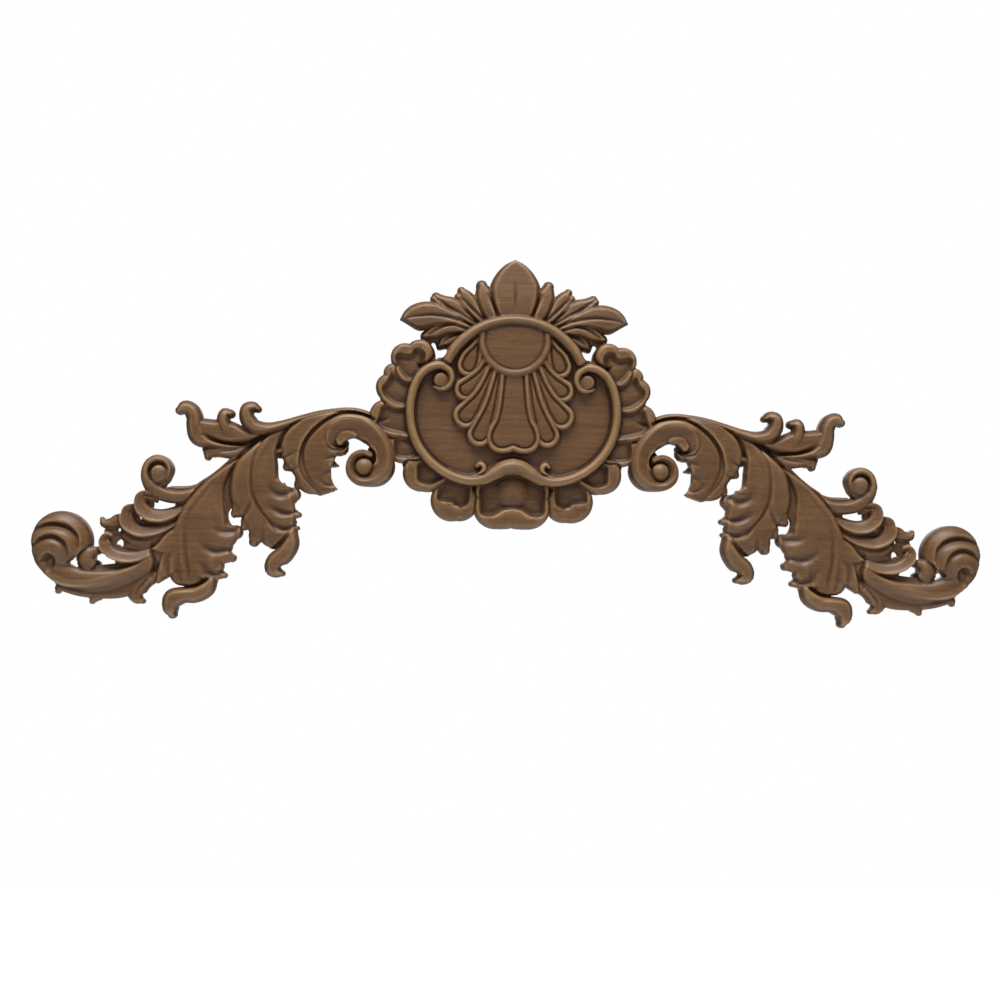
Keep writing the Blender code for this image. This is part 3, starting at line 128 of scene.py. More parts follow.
def curve(rows: Rows, step: float = 1.2) -> np.ndarray:
    """A smooth centripetal Catmull-Rom curve through the rows.

    Args:
        rows: The rows to pass through.
        step: The spacing of the new rows, in millimetres.

    Returns:
        Closely spaced rows, one per line.
    """
    rows = np.asarray(rows, float)
    if len(rows) < 2:
        return np.vstack([rows, rows + 1e-3 * np.eye(1, rows.shape[1])])
    padded = np.vstack([2 * rows[0] - rows[1], rows, 2 * rows[-1] - rows[-2]])
    spans = []
    for i in range(1, len(padded) - 2):
        before, start, end, after = padded[i - 1:i + 3]
        count = max(2, math.ceil(np.hypot(*(end - start)[:2]) / step))
        t = np.linspace(0, 1, count, endpoint=False)[:, None]
        knot_in, knot, knot_out = (max(np.hypot(*gap[:2]), 1e-3) ** 0.5
                                   for gap in (start - before, end - start, after - end))
        leave = ((start - before) / knot_in - (end - before) / (knot_in + knot)
                 + (end - start) / knot) * knot
        arrive = ((end - start) / knot - (after - start) / (knot + knot_out)
                  + (after - end) / knot_out) * knot
        spans.append((2 * t**3 - 3 * t**2 + 1) * start + (t**3 - 2 * t**2 + t) * leave
                     + (3 * t**2 - 2 * t**3) * end + (t**3 - t**2) * arrive)
    return np.vstack(spans + [rows[-1:]])


def with_length(rows: np.ndarray) -> np.ndarray:
    """The rows with their length along the curve as a last column."""
    steps = np.hypot(*np.diff(rows[:, :2], axis=0).T)
    return np.column_stack([rows, np.concatenate([[0], np.cumsum(steps)])])


class Relief:
    """The carving on a grid: height over the back, and distance inside the outline, in millimetres."""

    def __init__(self, cell: float) -> None:
        """Lays out an uncarved grid.

        Args:
            cell: Spacing of the grid.
        """
        self.cell = cell
        self.xs = np.arange(0, HALF_WIDTH + cell / 2, cell)
        self.zs = np.arange(BOTTOM, TOP + cell / 2, cell)
        self.x, self.z = np.meshgrid(self.xs, self.zs)
        self.height = np.full(self.x.shape, UNCARVED)
        self.inside = np.full(self.x.shape, UNCARVED)

    def window(self, rows: np.ndarray, reach: float) -> Window:
        """Finds the part of the grid near some rows.

        Args:
            rows: The rows.
            reach: How far past them it goes.

        Returns:
            The slices of the grid.
        """
        left, right = np.searchsorted(self.xs, [rows[:, 0].min() - reach, rows[:, 0].max() + reach])
        low, high = np.searchsorted(self.zs, [rows[:, 1].min() - reach, rows[:, 1].max() + reach])
        return slice(low, high), slice(left, right)

    def nearest(self, rows: np.ndarray, window: Window) -> tuple[np.ndarray, np.ndarray, np.ndarray]:
        """Finds the nearest point of a curve from each point of a window.

        Args:
            rows: The curve's rows.
            window: The part of the grid.

        Returns:
            The distance, the side (+1 is left of travel), and the row's values at the nearest point.
        """
        x, z = self.x[window], self.z[window]
        starts, ends = rows[:-1], rows[1:]
        steps = (ends - starts)[:, :2]
        squares = np.maximum((steps ** 2).sum(1), 1e-12)
        best, along, segment, side = (np.full(x.shape, value) for value in (1e9, 0.0, 0.0, 0.0))
        for k, (start, step, square) in enumerate(zip(starts, steps, squares)):
            ux, uz = x - start[0], z - start[1]
            t = np.clip((ux * step[0] + uz * step[1]) / square, 0, 1)
            distance = (ux - t * step[0]) ** 2 + (uz - t * step[1]) ** 2
            closer = distance < best
            best = np.where(closer, distance, best)
            along = np.where(closer, t, along)
            segment = np.where(closer, k, segment)
            side = np.where(closer, step[0] * uz - step[1] * ux, side)
        segment = segment.astype(int)
        values = starts[segment] + (ends - starts)[segment] * along[..., None]
        return np.sqrt(best), np.sign(side), values

    def lay(self, window: Window, inside: np.ndarray, height: np.ndarray, over: float | np.ndarray,
            blend: float = 0.4, within: bool = False) -> None:
        """Adds a stroke: outside its own edge its flank falls away at the wall slope.

        Args:
            window: The part of the grid that it reaches.
            inside: Distance inside the stroke's edge.
            height: The stroke's height.
            over: Share from 0 to 1 by which it replaces what lies under it.
            blend: Rounding where it meets what is there.
            within: True where it shapes only what is there, and leaves the outline as it is.
        """
        height = height + np.minimum(inside, 0) * WALL_SLOPE
        merged = smooth_max(self.height[window], height, blend)
        if np.any(over):
            cover = np.clip(inside / COVER_REACH, 0, 1) * over
            merged = np.where(inside > 0, height * cover + merged * (1 - cover), merged)
        self.height[window] = merged
        if not within:
            self.inside[window] = np.maximum(self.inside[window], inside)

    def leaf(self, rows: Rows, arch: float = 1.5, drop: float = 2.0, bevel: float = 2.5,
             fall: float = 2.0, tilt: float = 0.0, vein: float = 0.0, vein_width: float = 1.2,
             plain: Side = Side.NEITHER, over: bool = False, within: bool = False,
             fade: float = 0.0) -> None:
        """A leaf blade: its height less arch times the square of the way across, less its edge bevel.

        Args:
            rows: The blade's rows.
            arch: Fall from the middle to the edge.
            drop: Depth of the edge bevel.
            bevel: Width of the edge bevel.
            fall: Exponent of the edge bevel: 1 is flat, 2 is round.
            tilt: Rise of the left edge over the right one, halved.
            vein: Depth of the vein along the middle.
            vein_width: Width of the vein.
            plain: The side that keeps its full height out to the edge.
            over: True where it covers what lies under it.
            within: True where it leaves the outline as it is.
            fade: Length over which it grows out of what it starts in, and then covers it.
        """
        rows = np.asarray(rows, float)
        if rows.shape[1] == 4:
            rows = rows[:, [0, 1, 2, 2, 3]]
        rows = with_length(curve(rows))
        window = self.window(rows, rows[:, 2:4].max() + FLANK)
        distance, side, values = self.nearest(rows, window)
        share = np.clip(values[..., -1] / fade, 0, 1) if fade else float(over)
        width = np.maximum(np.where(side >= 0, values[..., 2], values[..., 3]), THINNEST)
        inside = width - distance
        across = np.minimum(distance / width, 1)
        edge = drop * (1 - np.clip(inside / bevel, 0, 1)) ** fall
        crease = vein * np.exp(-(distance / vein_width) ** 2)
        fallen = arch * across ** 2 + edge
        if plain is not Side.NEITHER:
            fallen = np.where(side == plain.value, 0, fallen)
        height = values[..., 4] + tilt * side * across - fallen - crease
        self.lay(window, inside, height, share, within=within)

    def band(self, rows: Rows, edge: float = STROKE_EDGE, power: float = 0.6, over: bool = False,
             blend: float = 0.4, fade: float = 0.0) -> None:
        """A round-backed band: edge plus the rise times (1 - across squared) to the power.

        Args:
            rows: The band's rows; their height is the crest's.
            edge: Height at the rim.
            power: 0.5 is a half round; less is flatter on top.
            over: True where it covers what lies under it.
            blend: Rounding where it meets what is there.
            fade: Length over which it grows out of what it starts in, and then covers it.
        """
        rows = with_length(curve(rows))
        window = self.window(rows, rows[:, 2].max() + FLANK)
        distance, _, values = self.nearest(rows, window)
        share = np.clip(values[..., -1] / fade, 0, 1) if fade else float(over)
        width, crest = np.maximum(values[..., 2], THINNEST), values[..., 3]
        rim = np.minimum(edge, crest)
        across = np.clip(distance / width, 0, 1)
        self.lay(window, width - distance, rim + (crest - rim) * (1 - across ** 2) ** power, share, blend)

    def web(self, rows: Rows) -> None:
        """Plain ground between the carved parts; its rows are (x, z, half width)."""
        self.leaf([(x, z, width, WEB) for x, z, width in rows], arch=0, drop=0)

    def patch(self, rounds: Rows, profile: Profile, over: bool = True, limit: Row | None = None,
              spine: Rows | None = None, melt: float = 0.01) -> None:
        """A lobed patch, the union of rounds and of a tapering spine, shaped by its profile.

        Args:
            rounds: Circles (x, z, radius).
            profile: Gives the height from the distance inside the edge.
            over: True where it covers what lies under it.
            limit: A circle (x, z, radius) that the patch stays in.
            spine: Rows (x, z, half width) of a tapering part.
            melt: How far the spine melts into the rounds.
        """
        rounds = np.asarray(rounds, float).reshape(-1, 3)
        path = curve(spine) if spine else rounds
        both = np.vstack([rounds, path[:, :3]])
        window = self.window(both, both[:, 2].max() + FLANK)
        x, z = self.x[window], self.z[window]
        inside = np.full(x.shape, -1e3)
        for cx, cz, radius in rounds:
            inside = np.maximum(inside, radius - np.hypot(x - cx, z - cz))
        if spine:
            distance, _, values = self.nearest(path, window)
            inside = smooth_max(inside, values[..., 2] - distance, melt)
        if limit:
            inside = np.minimum(inside, limit[2] - np.hypot(x - limit[0], z - limit[1]))
        self.lay(window, inside, profile(np.maximum(inside, 0)), over)

    def groove(self, rows: Rows, wider: float = 1.0) -> None:
        """Cuts depth times exp(-(distance / width) squared); the right side can be wider.

        Args:
            rows: Rows (x, z, width, depth).
            wider: How many times wider the right side is.
        """
        rows = curve(rows)
        window = self.window(rows, 3 * wider * rows[:, 2].max() + 1)
        distance, side, values = self.nearest(rows, window)
        width = values[..., 2] * np.where(side < 0, wider, 1)
        self.height[window] -= values[..., 3] * np.exp(-(distance / width) ** 2)

    def hollow(self, outline: Rows, depth: float, soft: float) -> None:
        """Scoops a bowl inside a closed curve, its walls steepest at the top and its floor swelling.

        sunk = depth (1 - (1 - distance / soft) squared) - PETAL_SWELL floor (2 - floor), where floor runs
        from 0 near the foot of the wall to 1 over SWELL_REACH. A point is inside where a line to its right
        crosses the curve an odd number of times.

        Args:
            outline: Points (x, z) of the curve.
            depth: Depth of the bowl.
            soft: Width of its walls.
        """
        rows = curve([*outline, outline[0]])
        window = self.window(rows, 1)
        x, z = self.x[window], self.z[window]
        inside = np.zeros(x.shape, bool)
        for (x0, z0), (x1, z1) in zip(rows[:-1], rows[1:]):
            if z0 != z1:
                inside ^= ((z0 > z) != (z1 > z)) & (x < x0 + (z - z0) * (x1 - x0) / (z1 - z0))
        distance = self.nearest(rows, window)[0]
        wall = 1 - np.clip(distance / soft, 0, 1)
        floor = np.clip((distance - 0.8 * soft) / SWELL_REACH, 0, 1)
        sunk = depth * (1 - wall ** 2) - PETAL_SWELL * floor * (2 - floor)
        self.height[window] -= np.where(inside, sunk, 0)

    def slot(self, rows: Rows) -> None:
        """Pierces the piece.

        Args:
            rows: Rows (x, z, half width) of the opening.
        """
        rows = curve(rows, 0.8)
        window = self.window(rows, rows[:, 2].max() + FLANK)
        distance, _, values = self.nearest(rows, window)
        self.inside[window] = np.minimum(self.inside[window], distance - values[..., 2])

    def sample(self, values: np.ndarray, x: np.ndarray, z: np.ndarray) -> np.ndarray:
        """Reads a grid between its points, weighting the four nearest ones.

        Args:
            values: A grid of this relief's shape.
            x: Distances to the side; the two halves are alike.
            z: Heights up the piece.

        Returns:
            The value at each point.
        """
        column = np.clip(np.abs(x) / self.cell, 0, len(self.xs) - 1.001)
        row = np.clip((z - BOTTOM) / self.cell, 0, len(self.zs) - 1.001)
        i, j = column.astype(int), row.astype(int)
        s, t = column - i, row - j
        return ((values[j, i] * (1 - s) + values[j, i + 1] * s) * (1 - t)
                + (values[j + 1, i] * (1 - s) + values[j + 1, i + 1] * s) * t)

    def settled(self, x: np.ndarray, z: np.ndarray) -> tuple[np.ndarray, np.ndarray]:
        """Moves points of the rim by six Newton steps to where the distance inside the outline is nought.

        Args:
            x: Distances to the side.
            z: Heights up the piece.

        Returns:
            The settled points, each within 0.62 of a cell of where it started.
        """
        start_x, start_z = x.copy(), z.copy()
        reach, probe = 0.62 * self.cell, 0.25 * self.cell
        middle = np.abs(x) < 1e-6
        for _ in range(6):
            value = self.sample(self.inside, x, z)
            slope_x = self.sample(self.inside, x + probe, z) - self.sample(self.inside, x - probe, z)
            slope_z = self.sample(self.inside, x, z + probe) - self.sample(self.inside, x, z - probe)
            slope_x, slope_z = np.where(middle, 0, slope_x / (2 * probe)), slope_z / (2 * probe)
            steep = np.maximum(slope_x ** 2 + slope_z ** 2, 0.3)
            x = np.clip(x - value * slope_x / steep, start_x - reach, start_x + reach)
            z = np.clip(z - value * slope_z / steep, start_z - reach, start_z + reach)
        return np.where(middle, 0, x), z

    def kept_cells(self) -> np.ndarray:
        """Finds the cells inside the outline, joined edge to edge in one piece by a flood fill.

        Where two kept cells touch only at a corner, a cell beside them is kept too.

        Returns:
            One truth value per cell.
        """
        inside = self.inside
        kept = (inside[:-1, :-1] + inside[1:, :-1] + inside[:-1, 1:] + inside[1:, 1:]) > 0
        for _ in range(3):
            a, b, c, d = kept[:-1, :-1], kept[1:, :-1], kept[:-1, 1:], kept[1:, 1:]
            a |= (b & c & ~d & ~a)
            b |= (a & d & ~b & ~c)
        reached = np.zeros_like(kept)
        reached[kept.shape[0] // 2, 0] = True
        while True:
            grown = reached.copy()
            grown[1:] |= reached[:-1]
            grown[:-1] |= reached[1:]
            grown[:, 1:] |= reached[:, :-1]
            grown[:, :-1] |= reached[:, 1:]
            grown &= kept
            if (grown == reached).all():
                return reached
            reached = grown

    def softened(self, size: float) -> np.ndarray:
        """Blurs the height with three box filters, counting only what lies inside the outline.

        Args:
            size: Half width of each box, in millimetres.

        Returns:
            The blurred height.
        """
        reach = max(1, round(size / self.cell))
        mask = (self.inside > 0).astype(float)
        blurred, weight = self.height * mask, mask
        mirrored = [np.hstack([grid[:, reach * 3:0:-1], grid]) for grid in (blurred, weight)]
        for _ in range(3):
            mirrored = [box_blur(box_blur(grid, reach).T, reach).T for grid in mirrored]
        blurred, weight = (grid[:, reach * 3:] for grid in mirrored)
        return blurred / np.maximum(weight, 1e-3)


def box_blur(grid: np.ndarray, reach: int) -> np.ndarray:
    """Averages each row of a grid over a running box, from the differences of its cumulative sum.

    Args:
        grid: The grid.
        reach: How many cells the box reaches to each side.

    Returns:
        The averaged grid.
    """
    padded = np.pad(grid, ((0, 0), (reach + 1, reach)), mode="edge")
    total = np.cumsum(padded, axis=1)
    return (total[:, 2 * reach + 1:] - total[:, :-2 * reach - 1]) / (2 * reach + 1)


def flat(level: float) -> Profile:
    """A level patch."""
    return lambda inside: level + 0 * inside


def petal_rim(rim: float, width: float) -> Profile:
    """A petal's rounded rim: a quarter ellipse from the outline up to the rim.

    Args:
        rim: Height of the rim.
        width: Width over which it rises.

    Returns:
        The rim's profile.
    """
    def profile(inside: np.ndarray) -> np.ndarray:
        """Height from the distance inside the outline."""
        away = 1 - np.clip(inside / width, 0, 1)
        return PETAL_EDGE + (rim - PETAL_EDGE) * np.sqrt(1 - away ** 2)
    return profile


@dataclass
class ShellCartouche:
    """The fluted shell under its arch, in a C-shaped moulding framed by petals, with the crest over it."""

    moulding_crest: float = 18.2
    quirk_offset: float = 3.4
    quirk_margin: int = 26
    ground_level: float = 6.0
    petal_rim_width: float = 3.2
    field_level: float = 11.0
    shell_rim: float = 15.6
    arch_plate: float = 16.2
    arch_z: float = -3.5
    arch_radius: float = 47.2
    arch_plate_radius: float = 22.8
    flute_limit: tuple[float, float, float] = (0.0, -3.8, 44.5)

    def carve(self, relief: Relief) -> None:
        """Carves its parts, the lowest first.

        Args:
            relief: The carving so far.
        """
        self.petals(relief)
        self.crest(relief)
        self.shell(relief)
        self.moulding(relief)

    def petals(self, relief: Relief) -> None:
        """The ground of the cartouche and the petals about it, the lowest first.

        Args:
            relief: The carving so far.
        """
        ground = [(0, -4, 46), (27, -19, 38), (24, -12, 39), (62, -20, 20), (55, -45, 15), (35, -62, 15),
                  (10, -68, 16), (66, 5, 10), (68, 15, 8)]
        relief.patch(ground, flat(self.ground_level), over=False)
        petals = [
            ([(38, -70.5, 13.4), (33, -71.7, 12), (36, -60, 12)], 12.4, 3.5, 3.2,
             [(26, -60.5), (26.6, -69), (27.6, -73.1), (30.4, -75.2), (35.6, -76), (38, -73), (42.6, -72.2),
              (47, -71.4), (47.8, -66.3), (44, -58), (34, -56)]),
            ([(57.5, -53.5, 11.8), (53.5, -54, 11.6), (49, -51, 11)], 12.6, 3.6, 3.2,
             [(41, -56), (43.6, -52), (48, -48), (54.3, -45.4), (60, -47.6), (60.7, -53.9), (60, -59.2),
              (56, -61.3), (51, -61.6), (46, -59)]),
            ([(70, -38.3, 9.2), (62, -37.5, 9.5)], 12.8, 3.5, 3.0,
             [(58, -43.6), (60, -34), (66, -31), (74.5, -31.6), (75.6, -38), (73.8, -44.2), (67.8, -45.4)]),
            ([(81, -17.5, 9.8), (75.5, -20, 12.8), (67, -21.5, 11)], 13.2, 3.6, 3.4,
             [(62, -20), (65, -12.4), (72, -11.6), (78.4, -9.6), (83.4, -12.4), (85, -17), (86.6, -22),
              (85.8, -25), (82, -27.4), (74.9, -29.4), (64, -30)]),
            ([(76, 9, 6.5), (78.5, 0.3, 8.7), (73, -2.5, 12.2), (67, -2, 12)], 13.6, 3.8, 3.4,
             [(62, -6), (64, 2), (70, 6), (74.6, 8.6), (77.6, 9.2), (78.6, 7.4), (80.6, 3.6), (83.4, 0.4),
              (83.8, -2.8), (82, -6.6), (78.6, -9.4), (74.9, -11.6), (70.7, -12.5), (64, -13)]),
            ([(60, 22, 8.7), (69, 19.3, 9.1), (67, 11, 8.5), (64, 8, 6)], 14.0, 3.6, 3.4,
             [(55.6, 16.4), (56.2, 22), (59.6, 25), (63.2, 24.6), (65.8, 21.4), (69, 21.4), (72.4, 22.2),
              (75.6, 20), (75.8, 16.6), (74.8, 12.6), (72.2, 8.8), (69.2, 5.4), (66.2, 3.6), (61.6, 5),
              (56.6, 10)]),
            ([(4, -76, 12.2), (7, -75.2, 13.2), (10.5, -74.5, 13.8), (11.5, -64, 12.5), (0, -66, 14)],
             13.4, 5.0, 3.6,
             [(0, -76.2), (5, -77), (8.8, -79.2), (12.4, -80.9), (17, -81), (20.6, -79), (21.4, -71.7),
              (21.4, -63), (17, -57), (0, -54), (-17, -57), (-21.4, -63), (-21.4, -71.7), (-20.6, -79),
              (-17, -81), (-12.4, -80.9), (-8.8, -79.2), (-5, -77)]),
        ]
        for outline, rim, depth, soft, bowl in petals:
            relief.patch(outline, petal_rim(rim, self.petal_rim_width))
            relief.hollow(bowl, depth, soft)
        relief.band([(0, -64.8, 10.4, 13.2)], edge=9.2, power=0.8)
        relief.groove([(78, -19.4, 1, 0.5), (81.9, -20.4, 1.3, 1.7), (85, -21.6, 1.1, 1.6),
                       (85.8, -23.6, 0.8, 0.6)])
        relief.band([(77.3, -34, 1.7, 13), (77.2, -40.5, 2.0, 13.4), (75.6, -45, 1.6, 12.6)], edge=9)
        relief.band([(33, -79, 3, 13.0), (35.8, -77.6, 3.4, 13.4), (38, -76.8, 3, 13.0)], edge=12)

    def crest(self, relief: Relief) -> None:
        """The fan of leaves over the arch, from its outer leaves to the middle one.

        Args:
            relief: The carving so far.
        """
        relief.web([(52, 31, 3.4), (55.5, 29.5, 2.8), (53.2, 24, 2.8), (52.4, 18.2, 2.6), (57, 14, 2.8),
                    (62, 8, 2.8)])
        leaves = [
            [(24, 41, 5, 5, 13), (32, 45.5, 6.5, 5, 12.5), (40, 51, 7.6, 5, 11.5), (46, 55, 5.2, 4.6, 10.5),
             (50, 58.6, 2.9, 2.9, 9.5)],
            [(28, 38.5, 3, 3, 13), (40, 44, 6, 5, 13), (52, 46.5, 8.6, 8, 12), (62, 46, 8, 8.9, 10.8),
             (68, 45, 5, 4.8, 10), (72.4, 43.8, 0.4, 0.4, 9)],
            [(30, 36, 3, 3, 12.5), (42, 38, 5, 5, 11.8), (50, 35.8, 5.3, 5.3, 10.8),
             (56, 33.2, 3.6, 3.6, 9)],
            [(30, 33, 3, 3, 12), (38, 31.5, 5, 5, 11), (44, 29.8, 4.9, 4.9, 10),
             (47.2, 27.6, 2.8, 2.8, 8.5)],
        ]
        for rows in leaves:
            relief.leaf(rows, arch=1.0, drop=3.8, bevel=3.2, fall=1.2)
        second = [(18, 42, 5, 13.5), (24, 48, 5, 13), (28.5, 54, 6, 12), (32, 59.5, 4.6, 11),
                  (34, 62.6, 2.7, 10)]
        first = [(12, 42, 6, 14), (17, 52, 6.2, 13.5), (19.5, 60, 6, 12.3), (21.2, 66, 3.6, 10.8)]
        tips = [[(31, 52, 4, 11.5), (35.6, 58.4, 2.9, 10)], [(48, 53.5, 3, 10.5), (51.4, 57, 2.4, 9.3)]]
        relief.leaf(second, arch=1.2, drop=3.2, bevel=3.0, fall=1.2, over=True)
        for rows in tips:
            relief.leaf(rows, arch=1, drop=2.5)
        relief.leaf(first, arch=1.2, drop=3.2, bevel=3.0, fall=1.2, over=True)
        middle = [(-1, 38, 10, 15), (0, 46, 12, 14.5), (0, 55, 15, 14), (0, 62, 16, 13),
                  (0, 67, 15.6, 12.3), (0, 72, 13.2, 11.5), (0, 76.5, 10, 10.8), (0, 81, 4.8, 10),
                  (0, 83, 0.3, 9.5)]
        relief.leaf(middle, arch=0.5, drop=4.2, bevel=3.4, fall=1.2, over=True)
        veins = [
            [(0, 49, 0.5, 0.2), (0, 53, 0.7, 1.2), (0, 60, 0.7, 1.3), (0, 67, 0.5, 0.5)],
            [(11.5, 47, 0.9, 1.5), (14, 53.5, 1.0, 2.2), (16.7, 60, 0.8, 0.8)],
            [(19, 43, 1.2, 2), (23.5, 47, 1.0, 2), (28, 51.5, 1.0, 2.2), (33.5, 57, 0.8, 0.7)],
            [(24, 41, 1.2, 2), (34, 47, 0.9, 1.4), (42, 51.5, 1.0, 2.0), (48.5, 56, 0.8, 0.7)],
            [(26, 39.5, 1.2, 2.2), (34, 42.8, 1.2, 2.2), (42, 45, 1.1, 2), (52, 46.3, 1.0, 2),
             (62, 45.5, 0.9, 1.6), (70, 43.8, 0.6, 0.6)],
            [(38, 40.5, 0.8, 1), (44, 39.8, 1.1, 2), (49.5, 37.2, 1.1, 2), (54, 34, 0.9, 1)],
            [(31, 35.3, 0.8, 1), (38, 33.9, 1.1, 1.8), (43, 31, 1.0, 1.5), (45, 29, 0.7, 0.6)],
        ]
        for rows in veins:
            relief.groove(rows)

    def shell(self, relief: Relief) -> None:
        """The sunk field, its flutes, and the half round plate under the arch.

        Args:
            relief: The carving so far.
        """
        relief.patch([(0, -4, 45.5), (27, -19, 37), (24.5, -12, 39), (0, -30, 20)], flat(self.field_level))
        flutes = [
            ([(22.5, 30, 3.2), (24.5, 25, 5), (27, 19.5, 7.2), (28.8, 14.6, 7.6)], []),
            ([(17, 16, 4.5), (21, 9.5, 5), (25.5, 4, 6.4), (30.3, -0.7, 7.6)], []),
            ([(14, 12, 4.5), (18, 2, 5), (22, -6, 6), (26, -12, 7.4), (30, -17.2, 8.2)], []),
            ([(9, 12, 4.5), (11.5, 2, 4.8), (13.6, -8, 5.6), (16, -16, 6.5), (19, -23.5, 7.4),
              (21.3, -29, 7.9)], []),
            ([(0, 14, 9.2), (0, 6, 9.5), (0, -4, 10.3), (0, -11, 11), (0, -18, 12.4), (0, -24, 14.2)],
             [(7.4, -31, 9.8)]),
        ]
        for place, (spine, rounds) in enumerate(flutes):
            rim = self.shell_rim - 0.25 * (len(flutes) - 1 - place)
            relief.patch(rounds, self.flute_profile(rim), limit=self.flute_limit, spine=spine, melt=5.0)
        plate = [(0, z, self.arch_plate_radius) for z in (30.7, 35, 40)]
        relief.patch(plate, self.plate_profile, limit=(0, self.arch_z, self.arch_radius + 2.8))

    def moulding(self, relief: Relief) -> None:
        """The arch over the shell, the C-shaped moulding that ends in a volute, and the volute's button.

        Args:
            relief: The carving so far.
        """
        arc = [(self.arch_radius * math.sin(angle), self.arch_z + self.arch_radius * math.cos(angle),
                3.5, 18.0) for angle in np.linspace(-0.05, 1.1, 14)]
        relief.band(arc, edge=11.5, over=True)
        scroll = [(50.5, 0.6, 0.8, 14.5), (46.8, -0.8, 1.3, 15.5), (42, 0.6, 1.8, 16.5), (39.6, 5, 2.2, 17),
                  (41, 10.5, 2.6, 17.7), (46, 14, 2.8, self.moulding_crest),
                  (52, 13.2, 2.9, self.moulding_crest), (58, 9, 2.9, self.moulding_crest),
                  (62, 2.5, 2.9, self.moulding_crest), (64.5, -6, 2.9, self.moulding_crest),
                  (65.3, -15, 2.9, self.moulding_crest), (64.4, -24, 2.9, 18), (61.7, -33, 2.9, 18),
                  (57, -41, 2.9, 18), (50.5, -48, 2.9, 18), (42.5, -53.5, 3, 18), (34, -57, 3.1, 18),
                  (26, -58.2, 3.4, 18), (18.5, -57, 3.8, 18), (11.5, -53.2, 4.4, 18.2),
                  (5, -49.8, 5.1, 18.4), (-2, -48.8, 5.5, 18.5)]
        spur = [(26, -57, 2.4, 16.8), (21.5, -55.6, 2.5, 17), (18.6, -52.6, 2.4, 17),
                (18.6, -49.4, 2.1, 16.8), (20.7, -47.8, 1.8, 16.4), (22.5, -49.1, 1.3, 15.6)]
        relief.band(spur, edge=12)
        relief.band(scroll, edge=11.5, over=True)
        # A quirk, the fine groove of a moulding, follows its outer side and stops short of both ends
        path = curve(scroll, 2.0)
        travel = np.gradient(path[:, :2], axis=0)
        travel /= np.linalg.norm(travel, axis=1, keepdims=True)
        outer = path[:, :2] + self.quirk_offset * np.column_stack([travel[:, 1], -travel[:, 0]])
        relief.groove([(x, z, 0.7, 1.0) for x, z in outer[self.quirk_margin:-self.quirk_margin]])
        relief.band([(46, 5, 4.5, 16.4)], edge=14.0, power=0.35)

    def flute_profile(self, rim: float, wall: float = 3.6) -> Profile:
        """A flute: a rounded wall, a fine groove inside it and a flat panel sunk a little below the rim.

        The height is the bead's, and past the wall the panel's, less 1.6 exp(-((inside - wall) / 0.55)
        squared) for the groove between them.

        Args:
            rim: Height of the wall.
            wall: Width of the wall.

        Returns:
            The flute's profile.
        """
        def profile(inside: np.ndarray) -> np.ndarray:
            """Gives the flute's height.

            Args:
                inside: Distance inside the edge.

            Returns:
                The height.
            """
            bead = (rim - 2.2 * (1 - np.clip(inside / 1.6, 0, 1)) ** 2
                    - 0.8 * np.clip((inside - 1.6) / 1.6, 0, 1) ** 2)
            panel = rim - 1.2 + 0.25 * np.clip((inside - wall) / 3, 0, 1)
            blend = np.clip((inside - wall + 0.5) / 0.8, 0, 1)
            return bead * (1 - blend) + panel * blend - 1.6 * np.exp(-((inside - wall) / 0.55) ** 2)
        return profile

    def plate_profile(self, inside: np.ndarray) -> np.ndarray:
        """The half round plate under the arch: a bevelled collar, a fine groove and a flat panel.

        Args:
            inside: Distance inside its edge.

        Returns:
            The height.
        """
        collar = self.arch_plate - 1.8 * (1 - np.clip(inside / 1.8, 0, 1)) ** 2
        panel = self.arch_plate - 1.0 + 0.3 * np.clip((inside - 5.5) / 8, 0, 1)
        blend = np.clip((inside - 4.0) / 0.8, 0, 1)
        return collar * (1 - blend) + panel * blend - 1.6 * np.exp(-((inside - 4.2) / 0.65) ** 2)


